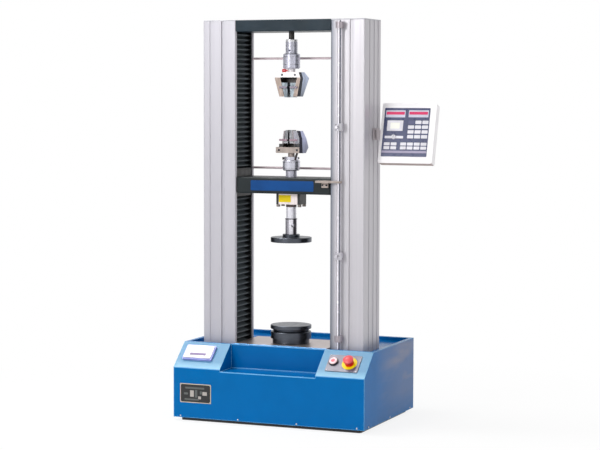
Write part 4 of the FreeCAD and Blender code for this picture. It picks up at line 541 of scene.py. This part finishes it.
# The flat sides of these plates are painted darker low and lighter high between the two heights, as
# painted shade and highlight.
UPPER_SIDE = edged_look("upper_grip_side", srgb(206, 220, 250), srgb(26, 28, 34), 1.276, 1.345)
LOWER_SIDE = edged_look("lower_grip_side", srgb(200, 206, 246), srgb(28, 28, 40), 1.045, 1.125)
CELL_PLATE = banded_look("cell_plate", srgb(150, 140, 134), srgb(38, 40, 42), 0.8495, 0.4, 0.2)
CELL = metal("cell_nickel", srgb(232, 222, 220), srgb(214, 202, 202), 0.34, (1, 1, 0.05), 500.0)
RING_BROWN = paint("browned_ring", srgb(92, 78, 76), srgb(74, 62, 60), 0.4)
BRONZE = metal("sintered_bronze", srgb(186, 140, 84), srgb(150, 108, 60), 0.42)
MOTOR = paint("motor_paint", srgb(34, 34, 38), srgb(26, 26, 30), 0.4)
BELT = plastic("belt_rubber", srgb(30, 30, 30), 0.6)
BELLOWS = bellows_look()
TABLE = table_look()
BALL_SCREW = screw_look()
BLACK = plastic("black_plastic", srgb(34, 34, 36), 0.42)
WHITE = plastic("white_plastic", srgb(232, 230, 238), 0.3)
LILAC = plastic("lilac_plastic", srgb(150, 158, 226), 0.35)
# The case's second colour is painted shade on its underside.
CASE = case_look("case_plastic", srgb(255, 253, 255), srgb(146, 122, 116))
KEY = plastic("key_caps", srgb(240, 238, 246), 0.35)
PANEL = paint("panel_plate", srgb(106, 102, 120), srgb(94, 90, 108), 0.34)
RED = plastic("red_plastic", srgb(214, 20, 28), 0.3, specular=0.3)
STOP_RED = plastic("stop_button_red", srgb(236, 88, 92), 0.4, coat=0.2)
START = dot_look("start_button_face", "start_button", 0.0082, srgb(198, 6, 56), srgb(252, 204, 212))
PINK = plastic("pink_ring", srgb(246, 206, 210), 0.3)
YELLOW = plastic("yellow_label", srgb(255, 226, 14), 0.4, specular=0.2)
NAVY = plastic("navy_membrane", srgb(62, 70, 112), 0.3)
SLOT = plastic("paper_slot", srgb(140, 122, 162), 0.5)
PALE = plastic("pale_membrane", srgb(216, 216, 236), 0.35)
BAND = plastic("lilac_band", srgb(172, 164, 192), 0.4)
SPARE_KEY = plastic("spare_key", srgb(82, 86, 128), 0.35)
PLATE_GREY = plastic("plate_grey", srgb(92, 96, 94), 0.4)
PLATE_PALE = plastic("plate_pale", srgb(186, 178, 172), 0.4)
BEIGE = plastic("beige_trim", srgb(214, 196, 170), 0.4)
STRIPE = plastic("blue_stripe", srgb(12, 72, 136), 0.4, specular=0.15)
ARM = paint("arm_paint", srgb(186, 178, 182), srgb(172, 164, 168), 0.4)
RED_GLOW = glow_look("red_display", srgb(140, 24, 60), srgb(232, 66, 116), 0.6)
LCD_GLOW = glow_look("cream_display", srgb(246, 246, 238), srgb(250, 250, 242), 0.12)

NODE_LOOKS = {
    "base_plate": BLACK_PAINT,
    "base_frame": GREY_PAINT,
    "base_housing": BLUE,
    "top_cover": BLUE,
    "work_table": TABLE,
    "rear_panel": BLUE,
    "mains_inlet": BLACK,
    "left_column": SHADED_COLUMN_LEFT,
    "right_column": COLUMN_RIGHT,
    "column_caps": CAP,
    "top_beam": SLATE,
    "tie_rods": ROD_STEEL,
    "guide_rods": STEEL,
    "screw_bearings": BLACK_STEEL,
    "left_ball_screw": BALL_SCREW,
    "right_ball_screw": BALL_SCREW,
    "servo_motor": MOTOR,
    "motor_shaft": STEEL,
    "drive_belt": BELT,
    "crosshead": CHARCOAL,
    "ball_nuts": STEEL,
    "guide_bushes": BRONZE,
    "upper_bellows": BELLOWS,
    "lower_bellows": BELLOWS,
    "bellows_frames": BLACK_PAINT,
    "load_cell": CELL,
    "cell_side_plates": CELL_PLATE,
    "platen_spigot": SPIGOT,
    "platen_sleeve": SLEEVE,
    "upper_platen": PLATEN,
    "platen_base": PLATEN,
    "platen_seat": PLATEN,
    "platen_disc": PLATEN,
    "hanger_sleeve": HANGER,
    "hanger_coupling": CHROME,
    "upper_grip_body": UPPER_GRIP,
    "lower_grip_body": LOWER_GRIP,
    "upper_jaw_left": JAW,
    "upper_jaw_right": JAW,
    "upper_jaw_shaft": BLACK_STEEL,
    "upper_grip_side_plate": UPPER_SIDE,
    "lower_jaw_left": DARK_JAW,
    "lower_jaw_right": DARK_JAW,
    "lower_jaw_shaft": BLACK_STEEL,
    "lower_grip_side_plate": LOWER_SIDE,
    "lower_stem": CHROME,
    "lower_coupling": COUPLING,
    "limit_rod": ROD,
    "upper_stop": NICKEL,
    "lower_stop": NICKEL,
    "limit_guides": GUIDE,
    "striker_arm": GRIP,
    "printer_body": LILAC,
    "printer_door": WHITE,
    "control_panel": PANEL,
    "start_button": START,
    "stop_button": STOP_RED,
    "controller_bracket": ARM,
    "controller_leaf": ARM,
    "controller_case": CASE,
}


def dress_nodes():
    for name, look in NODE_LOOKS.items():
        for slot in nodes[name].material_slots:
            slot.material = look.material


# Shapes

def facing(origin, right, up):
    """Frame of a face: local X to the right, Y up it and Z out of it."""
    right, up = Vector(right).normalized(), Vector(up).normalized()
    place = Matrix((right, up, right.cross(up))).transposed().to_4x4()
    place.translation = Vector(origin)
    return place


def front(x, y, z):
    return facing((x, y, z), (1, 0, 0), (0, 0, 1))


def rear(x, y, z):
    return facing((x, y, z), (-1, 0, 0), (0, 0, 1))


def upward(x, y, z):
    return facing((x, y, z), (1, 0, 0), (0, 1, 0))


def on_slope(x, along, proud=0.0):
    """Frame on the console slope, a length up from its foot."""
    normal = Vector((1, 0, 0)).cross(SLOPE_UP)
    place = CONSOLE_FOOT + Vector((x, 0, 0)) + SLOPE_UP * along + normal * proud
    return facing(place, (1, 0, 0), SLOPE_UP)


def on_case(across, up, proud=0.0):
    """Frame on the controller's face: across from its left edge, up from its tilt pin."""
    lean = Matrix.Rotation(-CASE_TILT, 4, "X")
    local = Vector((across, CASE_FACE - TILT_PIN.y - proud, up))
    return facing(TILT_PIN + lean @ local, (1, 0, 0), lean @ Vector((0, 0, 1)))


def on_panel(across, up, proud):
    """Frame on the controller's face plate, from millimetres across and up."""
    return on_case(across / 1000 + PANEL_SHIFT[0], up / 1000 + PANEL_SHIFT[1], proud)


def ring_points(width, height, corner, steps=5):
    """Outline of a rounded rectangle about the origin, anticlockwise."""
    points = []
    corner = min(corner, width / 2 - 1e-5, height / 2 - 1e-5)
    for i, (sx, sy) in enumerate(((1, 1), (-1, 1), (-1, -1), (1, -1))):
        for k in range(steps + 1):
            turn = math.pi / 2 * (i + k / steps)
            x = sx * (width / 2 - corner) + corner * math.cos(turn)
            y = sy * (height / 2 - corner) + corner * math.sin(turn)
            points.append((x, y))
    return points


def add_slab(bm, place, width, height, thick, corner=0.002, bevel=0.0003):
    """Rounded plate that stands on its frame's XY plane, with a softened top edge."""
    low = [bm.verts.new((x, y, 0)) for x, y in ring_points(width, height, corner)]
    mid = [bm.verts.new((x, y, thick - bevel)) for x, y in ring_points(width, height, corner)]
    inset = ring_points(width - 2 * bevel, height - 2 * bevel, max(corner - bevel, 1e-5))
    top = [bm.verts.new((x, y, thick)) for x, y in inset]
    for a, b in ((low, mid), (mid, top)):
        for i in range(len(a)):
            j = (i + 1) % len(a)
            bm.faces.new((a[i], a[j], b[j], b[i]))
    bm.faces.new(top)
    bm.faces.new(low[::-1])
    bmesh.ops.transform(bm, matrix=place, verts=low + mid + top)


def add_turned(bm, place, profile, segments=32):
    """Radius and height outline turned about the frame's Z axis."""
    rings = []
    for radius, height in profile:
        if radius < 1e-6:
            rings.append([bm.verts.new((0, 0, height))])
        else:
            turns = [2 * math.pi * k / segments for k in range(segments)]
            rim = [(radius * math.cos(t), radius * math.sin(t), height) for t in turns]
            rings.append([bm.verts.new(point) for point in rim])
    for a, b in zip(rings, rings[1:]):
        for k in range(segments):
            n = (k + 1) % segments
            quad = (a[k % len(a)], a[n % len(a)], b[n % len(b)], b[k % len(b)])
            corners = list(dict.fromkeys(quad))
            if len(corners) > 2:
                bm.faces.new(corners)
    bmesh.ops.transform(bm, matrix=place, verts=[v for ring in rings for v in ring])


def socket_screw(bm, place, radius, height):
    """Cap screw head with a hexagonal socket."""
    rim, socket, floor = radius * 0.62, radius * 0.5, height * 0.35
    outside = [(radius, 0), (radius, height * 0.85), (radius * 0.88, height), (rim, height)]
    add_turned(bm, place, outside, 24)
    add_turned(bm, place, [(rim, height), (socket, height)], 24)
    add_turned(bm, place, [(socket, height), (socket, floor), (0, floor)], 6)


def dome_screw(bm, place, radius, height):
    """Dome head with a dimple in its middle."""
    steps = 5
    turns = [math.pi / 2 * k / steps for k in range(steps)]
    dome = [(radius * math.cos(a), height * math.sin(a)) for a in turns]
    dimple = [(radius * 0.3, height), (radius * 0.2, height * 0.55), (0, height * 0.55)]
    add_turned(bm, place, dome + dimple, 20)


def band_profile(radius, step, height, edge):
    """Outside of a ring whose upper and lower edges are chamfered."""
    return [(radius - step, 0), (radius, edge), (radius, height - edge), (radius - step, height)]


def mesh_object(name, bm, look, sharp_angle):
    """Turns a mesh into a named object, smooth up to an angle in degrees."""
    bmesh.ops.recalc_face_normals(bm, faces=bm.faces)
    mesh = bpy.data.meshes.new(name)
    bm.to_mesh(mesh)
    bm.free()
    mesh.materials.append(look.material)
    mesh.shade_smooth()
    mesh.set_sharp_from_angle(angle=math.radians(sharp_angle))
    made = bpy.data.objects.new(name, mesh)
    bpy.context.scene.collection.objects.link(made)
    return made


def piece(name, bm, look, body):
    """Turns a mesh into a named piece that rides on a body."""
    made = mesh_object(name, bm, look, 30)
    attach(made, body)


def slabs(name, places, size, look, body, corner=0.002, bevel=0.0003):
    """Equal plates at several places as one piece."""
    bm = bmesh.new()
    for place in places:
        add_slab(bm, place, *size, corner, bevel)
    piece(name, bm, look, body)


def turned(name, place, profile, segments, look, body):
    """One turned shape as a piece."""
    bm = bmesh.new()
    add_turned(bm, place, profile, segments)
    piece(name, bm, look, body)


def dome_screws(name, places, radius, height, body=BODY):
    """Equal bright dome screws at several places as one piece."""
    bm = bmesh.new()
    for place in places:
        dome_screw(bm, place, radius, height)
    piece(name, bm, STEEL, body)


def socket_screws(name, places, radius, height, body):
    """Equal blackened socket screws at several places as one piece."""
    bm = bmesh.new()
    for place in places:
        socket_screw(bm, place, radius, height)
    piece(name, bm, BLACK_STEEL, body)


# Base pieces

def nameplate():
    """Black plate in a beige border, with pale and grey fields and four rivets."""
    x, z = -0.3045, 0.1115
    width, height, margin = 0.133, 0.075, 0.006
    plate_face, field_face = FRONT_WALL - 0.0008, FRONT_WALL - 0.0012
    slabs("nameplate_border", [front(x, FRONT_WALL, z)], (width, height, 0.0008), BEIGE, BODY,
          0.003, 0.0002)
    slabs("nameplate", [front(x, plate_face, z)], (width - margin, height - margin, 0.0004), BLACK, BODY,
          0.002, 0.0001)
    pale = [(-0.015, -0.001, 0.016, 0.025), (0.040, 0.001, 0.019, 0.014), (0.018, -0.016, 0.012, 0.011)]
    grey = [(-0.003, 0.021, 0.082, 0.007), (-0.041, -0.002, 0.017, 0.008), (0.003, -0.001, 0.010, 0.030),
            (-0.016, -0.024, 0.062, 0.006), (0.024, 0.004, 0.009, 0.012)]
    for word, look, fields in (("pale", PLATE_PALE, pale), ("grey", PLATE_GREY, grey)):
        bm = bmesh.new()
        for dx, dz, w, h in fields:
            add_slab(bm, front(x + dx, field_face, z + dz), w, h, 0.0002, 0.001, 0.0001)
        piece("nameplate_fields_" + word, bm, look, BODY)
    corners = [(x + sx * 0.062, z + sz * 0.033) for sx in (-1, 1) for sz in (-1, 1)]
    dome_screws("nameplate_rivets", [front(cx, field_face, cz) for cx, cz in corners], 0.0018, 0.0008)


def housing_screws():
    """Screws along the foot of the housing, of the rear panel and of the cover."""
    line = 0.0205
    places = [front(x, FRONT_WALL, line) for x in (-0.370, -0.123, 0.123, 0.370)]
    for y in (-0.19, 0.05, 0.29):
        for side in (1, -1):
            places.append(facing((side * RIGHT_WALL, y, line), (0, side, 0), (0, 0, 1)))
    dome_screws("housing_screws", places, 0.0035, 0.0014)
    bm = bmesh.new()
    for x in (-0.250, 0, 0.250):
        for z in (0.068, 0.242):
            dome_screw(bm, rear(x, REAR_WALL, z), 0.004, 0.0016)
    for side in (-1, 1):
        dome_screw(bm, rear(-0.200 + side * 0.020, REAR_WALL + 0.0025, 0.092), 0.002, 0.001)
    piece("rear_panel_screws", bm, STEEL, BODY)
    places = [upward(x, 0.305, COVER_TOP) for x in (-0.37, -0.12, 0.12, 0.37)]
    places += [upward(x, 0.12, COVER_TOP) for x in (-0.37, 0.37)]
    dome_screws("cover_screws", places, 0.004, 0.0015)


def fold_highlights():
    """Thin light-blue strips along the tray and the consoles, painted highlights where the rounded sheet
    folds catch the light.
    """
    folds = [(0, FRONT_WALL, 0.2019, 0.400, 0.0040), (0, TRAY_WALL, 0.2058, 0.396, 0.0032),
             (0, TRAY_WALL, 0.2980, 0.400, 0.0032), (-0.300, FRONT_WALL, 0.2102, 0.198, 0.0030),
             (0.300, FRONT_WALL, 0.2102, 0.198, 0.0030)]
    bm = bmesh.new()
    for x, wall, z, width, height in folds:
        add_slab(bm, front(x, wall, z), width, height, 0.0003, 0.0014, 0.0002)
    piece("fold_highlights", bm, GLINT, BODY)


def console_details():
    """Button rings, the yellow disc, panel screws, the paper strip and the door's catch."""
    stop, start = on_slope(*STOP_SPOT, PANEL_PROUD), on_slope(*START_SPOT, PANEL_PROUD)
    turned("stop_disc", stop, [(0.0155, 0), (0.030, 0), (0.030, 0.0008), (0.0155, 0.0008)], 48,
           YELLOW, BODY)
    turned("stop_collar", stop, [(0.0151, 0), (0.0175, 0), (0.0175, 0.012), (0.0151, 0.0122)], 40,
           RED, BODY)
    turned("start_ring", start,
           [(0.0161, 0), (0.0190, 0), (0.0190, 0.0045), (0.0178, 0.0062), (0.0161, 0.0062)], 40,
           BLACK, BODY)
    turned("start_bezel", on_slope(*START_SPOT, 0.010),
           [(0.0129, 0), (0.0159, 0), (0.0155, 0.0009), (0.0133, 0.0009)], 40,
           PINK, BODY)
    corners = [(x, along) for x in (0.236, 0.358) for along in (0.031, 0.103)]
    dome_screws("control_panel_screws", [on_slope(*spot, PANEL_PROUD) for spot in corners], 0.0022, 0.0010)
    slabs("paper_strip", [on_slope(PRINTER_X, 0.0610, 0.0130)], (0.068, 0.0100, 0.0016), SLOT,
          "paper_door", 0.0008, 0.0002)
    slabs("door_catch", [on_slope(PRINTER_X, 0.0965, 0.013)], (0.026, 0.004, 0.0010), PALE,
          "paper_door", 0.002, 0.0004)


# Column and crosshead pieces

def bellows_piece(name, side, low, high, pitch):
    """Folded curtain with rounded crests, thin welded rims and a slight bow between its edges."""
    depth, thick, sag = 0.020, 0.0014, 0.0012
    front_y, rear_y = -0.0775, 0.0715
    pleats = round((high - low) / pitch)
    step = (high - low) / pleats
    shares = [0.0, 0.02, 0.12, 0.5, 0.88, 0.98, 1.0]
    folds = [1.0, 0.72, 0.30, 0.0, 0.30, 0.72]
    profile = []
    for i in range(pleats):
        for k, fold in enumerate(folds):
            profile.append((low + i * step + step * k / len(folds), fold))
    profile.append((high, 1.0))
    bm = bmesh.new()
    sheets = []
    for offset in (0.0, thick):
        rows = []
        for z, fold in profile:
            row = []
            for share in shares:
                bow = sag * math.sin(math.pi * share) * (1 - fold)
                x = side * (BELLOWS_MOUTH + fold * (depth - thick) + offset + sag - bow)
                row.append(bm.verts.new((x, front_y + share * (rear_y - front_y), z)))
            rows.append(row)
        sheets.append(rows)
        for a, b in zip(rows, rows[1:]):
            for i in range(len(shares) - 1):
                bm.faces.new((a[i], a[i + 1], b[i + 1], b[i]))
    web_y = rear_y - 0.001
    inner, outer = side * (BELLOWS_MOUTH + 0.0015), side * (BELLOWS_MOUTH + depth - 0.0005)
    for (z0, _), (z1, _) in zip(profile, profile[1:]):
        corners = [(inner, z0), (outer, z0), (outer, z1), (inner, z1)]
        bm.faces.new([bm.verts.new((x, web_y, z)) for x, z in corners])
    near, far = sheets
    for edge in (0, -1):
        for i in range(len(profile) - 1):
            bm.faces.new((near[i][edge], far[i][edge], far[i + 1][edge], near[i + 1][edge]))
    for row in (0, -1):
        for i in range(len(shares) - 1):
            bm.faces.new((near[row][i], near[row][i + 1], far[row][i + 1], far[row][i]))
    made = mesh_object(name, bm, BELLOWS, 50)
    return made


def bellows():
    top, bottom = 1.525, 0.282
    upper_end, lower_end = 0.988, 0.878
    for side, word in ((-1, "left"), (1, "right")):
        upper = bellows_piece("upper_bellows_" + word, side, upper_end, top, 0.0192)
        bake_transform(upper)
        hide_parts("upper_bellows")
        lower = bellows_piece("lower_bellows_" + word, side, bottom, lower_end, 0.0210)
        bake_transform(lower)
        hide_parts("lower_bellows")


def crosshead_details():
    """Stripe and label of the crosshead, rings, pin and screws of the load cell's string."""
    middle = (CROSSHEAD_LOW + CROSSHEAD_HIGH) / 2
    slabs("crosshead_stripe", [front(-0.005, CROSSHEAD_FRONT, middle)], (0.266, 0.040, 0.0006), STRIPE,
          CARRIAGE, 0.004, 0.0002)
    slabs("cell_label", [front(-0.0135, -0.0335, 0.872)], (0.051, 0.028, 0.0004), YELLOW, CARRIAGE,
          0.001, 0.0001)
    bm = bmesh.new()
    for x in (-0.045, 0.045):
        for y in (-0.024, 0.024):
            under = facing((x, y, CELL_FLOOR), (1, 0, 0), (0, -1, 0))
            add_turned(bm, under, [(0.0075, 0), (0.0070, 0.0006), (0.0034, 0.0006)], 24)
            add_turned(bm, under, [(0.0034, 0.0006), (0.0034, 0.0001), (0, 0.0001)], 6)
    piece("cell_bolt_sockets", bm, BLACK_STEEL, CARRIAGE)
    turned("sleeve_ring", upward(0, 0, 0.7895), band_profile(0.0238, 0.0006, 0.0035, 0.0008), 48,
           BLACK, CARRIAGE)
    turn, radius = math.radians(38), 0.0226
    spot = (radius * math.sin(turn), -radius * math.cos(turn), 0.765)
    turned("sleeve_pin", facing(spot, (math.cos(turn), math.sin(turn), 0), (0, 0, 1)),
           [(0.0060, 0), (0.0060, 0.0028), (0.0050, 0.0038), (0, 0.0038)], 28,
           BLACK_STEEL, CARRIAGE)
    turned("spigot_ring", upward(0, 0, 0.8378), band_profile(0.0210, 0.0010, 0.0106, 0.0008), 48,
           RING_BROWN, CARRIAGE)
    socket_screws("striker_screws", [front(x, -0.096, 0.931) for x in (0.171, 0.187)],
                  0.0035, 0.003, CARRIAGE)


def grip_details():
    """Lock pin, bands and screws of the two gripping strings."""
    pin = Matrix.Translation((-0.014, 0, 1.374)) @ Matrix.Rotation(-math.pi / 2, 4, "Y")
    turned("neck_lock_pin", pin,
           [(0, 0), (0.0035, 0), (0.0035, 0.010), (0.0068, 0.0104), (0.0068, 0.0235), (0.0052, 0.0250),
            (0, 0.0250)], 24, STOP_RED, BODY)
    upper = [(1.4395, 0.0246), (1.396, 0.0342), (1.4265, 0.0342)]
    lower = [(0.9895, 0.0350), (1.0130, 0.0350)]
    for name, bands, body in (("coupling_bands", upper, BODY), ("lower_coupling_bands", lower, CARRIAGE)):
        bm = bmesh.new()
        for z, radius in bands:
            add_turned(bm, upward(0, 0, z), band_profile(radius, 0.0012, 0.0024, 0.0006), 48)
        piece(name, bm, STEEL, body)
    socket_screws("upper_grip_screws", [front(x, GRIP_FRONT, 1.357) for x in (-0.028, 0.026)],
                  0.004, 0.0022, BODY)
    socket_screws("lower_grip_screws", [front(x, GRIP_FRONT, 1.0625) for x in (-0.040, 0.036)],
                  0.004, 0.0022, CARRIAGE)


def beam_details():
    """Screws that hold the caps on the columns."""
    recess = -0.0002
    head = [(0.0075, recess), (0.0060, 0), (0.0038, 0), (0.0038, recess), (0, recess)]
    bm = bmesh.new()
    for side in (-1, 1):
        for y in (-0.06, 0.0, 0.06):
            add_turned(bm, upward(side * SCREW_X, y, MACHINE_TOP), head, 24)
    piece("cap_screws", bm, STEEL, BODY)


# Controller pieces

def controller_panel():
    """Face plate, membrane, displays and keys, each from its left, right, lower and upper limit in mm."""

    def plates(name, limits, base, thick, look, corner=0.002, bevel=0.0002):
        bm = bmesh.new()
        for left, right, low, high in limits:
            place = on_panel((left + right) / 2, (low + high) / 2, base)
            add_slab(bm, place, (right - left) / 1000, (high - low) / 1000, thick, corner, bevel)
        piece(name, bm, look, CONTROLLER)

    plates("face_plate", [(2.5, 202, -93, 108)], -0.0015, 0.0018, CASE, 0.005)
    plates("membrane", [(6.5, 192, -90, 103)], 0.0003, 0.0004, NAVY, 0.003)
    plates("display_frames", [(12.4, 91.7, 65.4, 93.6), (105.3, 185.8, 66, 94)], 0.0007, 0.0005, PALE)
    plates("red_displays", [(15, 89, 76.1, 87.6), (108, 183, 76.7, 88.1)], 0.0012, 0.0003, RED_GLOW, 0.001)
    plates("lcd_frame", [(21.3, 86.3, 11.7, 53.3)], 0.0007, 0.0006, KEY)
    plates("lcd", [(35, 73, 20.5, 44.5)], 0.0013, 0.0003, LCD_GLOW, 0.001)
    keys = []
    for low in (39.5, 20.5, 1.5, -17.5):
        for left in (107, 135.3, 163.6):
            keys.append((left, left + 24.5, low, low + 13.5))
    plates("number_keys", keys[1:], 0.0007, 0.0010, KEY, 0.002, 0.0004)
    plates("blank_key", keys[:1], 0.0007, 0.0006, SPARE_KEY, 0.002, 0.0003)
    plates("dial_strip", [(15.5, 90.9, -18, -8.1)], 0.0007, 0.0005, KEY)
    keys = []
    for low in (-46, -61.4):
        for left in (15, 43, 82, 109.5, 137, 164.5):
            keys.append((left, left + 23.5, low, low + 12))
    plates("function_keys", keys, 0.0007, 0.0010, KEY, 0.002, 0.0004)
    plates("lilac_band", [(8, 190.5, -75.5, -66.6)], 0.0007, 0.0003, BAND, 0.001)
    turned("dial_knob", on_panel(53, -13, 0.0012),
           [(0.0085, 0), (0.0085, 0.007), (0.0078, 0.0085), (0, 0.0085)], 36,
           KEY, CONTROLLER)
    slabs("dial_mark", [on_panel(53, -10.5, 0.0097)], (0.0014, 0.010, 0.0004), NAVY, CONTROLLER,
          0.0006, 0.0001)


def case_details():
    """Screws in the back of the case."""
    turned_round = Matrix.Rotation(math.pi, 4, "Y")
    corners = [(across, up) for across in (0.020, 0.200) for up in (-0.100, 0.100)]
    places = [on_case(across, up, -CASE_DEPTH) @ turned_round for across, up in corners]
    dome_screws("case_screws", places, 0.0035, 0.0014, CONTROLLER)


# Stage, light and camera

FLOOR_WHITE = (0.90, 0.90, 0.90, 1.0)


def pale_floor():
    """Wide floor that the camera and glossy rays see as near white, with the object's shadow."""
    bpy.ops.mesh.primitive_plane_add(size=60, location=(0, 0, 0))
    floor = bpy.context.object
    floor.name = "studio_floor"
    material = bpy.data.materials.new("studio_floor")
    material.use_nodes = True
    graph = Graph(material.node_tree)
    shader = graph.tree.nodes["Principled BSDF"]
    shader.inputs["Base Color"].default_value = FLOOR_WHITE
    shader.inputs["Roughness"].default_value = 0.9
    glow = graph.node("ShaderNodeEmission")
    glow.inputs["Color"].default_value = PURE_WHITE
    path = graph.node("ShaderNodeLightPath").outputs
    seen = graph.either(path["Is Camera Ray"], path["Is Glossy Ray"])
    seen = graph.either(seen, path["Is Transmission Ray"])
    place = graph.node("ShaderNodeTexCoord").outputs["Object"]
    away = graph.math("LENGTH", place, kind=VECTOR_MATH)
    share = graph.times(seen, graph.ranged(away, 0.5, 1.8, 0.86, 1.0))
    surface = graph.mixed_shader(share, shader.outputs["BSDF"], glow.outputs["Emission"])
    graph.feed(surface, graph.tree.nodes["Material Output"].inputs["Surface"])
    floor.data.materials.append(material)


def studio_world():
    """White surroundings for the camera and for reflections, and a plain soft light elsewhere."""
    world = bpy.data.worlds.new("studio")
    bpy.context.scene.world = world
    world.use_nodes = True
    graph = Graph(world.node_tree)
    plain = graph.tree.nodes["Background"]
    white, mirror = graph.node("ShaderNodeBackground"), graph.node("ShaderNodeBackground")
    for background, strength in ((plain, 0.55), (white, 1.0), (mirror, 1.0)):
        background.inputs["Color"].default_value = PURE_WHITE
        background.inputs["Strength"].default_value = strength
    around = graph.node("ShaderNodeTexCoord").outputs["Generated"]
    ramp = graph.ranged(graph.split(around)[1], -0.6, 0.5, 0.50, 1.0)
    # Dark flags stand left and right of the view and draw the edges of round metal
    sideways = graph.math("DOT_PRODUCT", around, (0.924, 0.381, 0.0), kind=VECTOR_MATH)
    flags = graph.ranged(graph.math("ABSOLUTE", sideways), 0.80, 0.97, 1.0, 0.22)
    graph.feed(graph.times(ramp, flags), mirror.inputs["Color"])
    path = graph.node("ShaderNodeLightPath").outputs
    glossy = graph.either(path["Is Glossy Ray"], path["Is Transmission Ray"])
    lit = graph.mixed_shader(glossy, plain.outputs["Background"], mirror.outputs["Background"])
    shown = graph.mixed_shader(path["Is Camera Ray"], lit, white.outputs["Background"])
    graph.feed(shown, graph.tree.nodes["World Output"].inputs["Surface"])


def softbox(name, place, target, size, watts):
    data = bpy.data.lights.new(name, "AREA")
    data.shape = "RECTANGLE"
    data.size, data.size_y = size
    data.energy = watts
    lamp = bpy.data.objects.new(name, data)
    lamp.location = place
    lamp.rotation_euler = (Vector(target) - Vector(place)).to_track_quat("-Z", "Y").to_euler()
    bpy.context.scene.collection.objects.link(lamp)


def lights():
    softbox("top_strip", (-1.2, -0.27, 3.1), (0, -0.2, 0.3), (0.6, 1.6), 60)
    softbox("front_softbox", (-1.6, -5.0, 2.6), (0, 0, 0.8), (1.6, 1.6), 100)
    softbox("right_softbox", (4.0, -1.5, 2.4), (0.3, 0, 0.8), (1.8, 1.8), 18)


def camera():
    azimuth, elevation, roll = (math.radians(a) for a in (22.426, 3.99, 0.149))
    distance = 7.2147
    target = Vector((0.03745, 0, 0.767455))
    level = math.cos(elevation)
    back = Vector((math.sin(azimuth) * level, -math.cos(azimuth) * level, math.sin(elevation)))
    right = Vector((0, 0, 1)).cross(back).normalized()
    up = back.cross(right)
    turned_right = right * math.cos(roll) + up * math.sin(roll)
    turned_up = up * math.cos(roll) - right * math.sin(roll)
    place = Matrix((turned_right, turned_up, back)).transposed().to_4x4()
    place.translation = target + back * distance
    data = bpy.data.cameras.new("camera")
    data.sensor_fit = "HORIZONTAL"
    data.sensor_width = 36.0
    data.lens = 109.89
    data.clip_end = 100.0
    shown = bpy.data.objects.new("camera", data)
    shown.matrix_world = place
    bpy.context.scene.collection.objects.link(shown)
    bpy.context.scene.camera = shown


camera()
lights()
studio_world()
pale_floor()
bpy.context.scene.view_settings.view_transform = "Standard"
dress_nodes()
nameplate()
housing_screws()
fold_highlights()
console_details()
bellows()
crosshead_details()
grip_details()
beam_details()
controller_panel()
case_details()
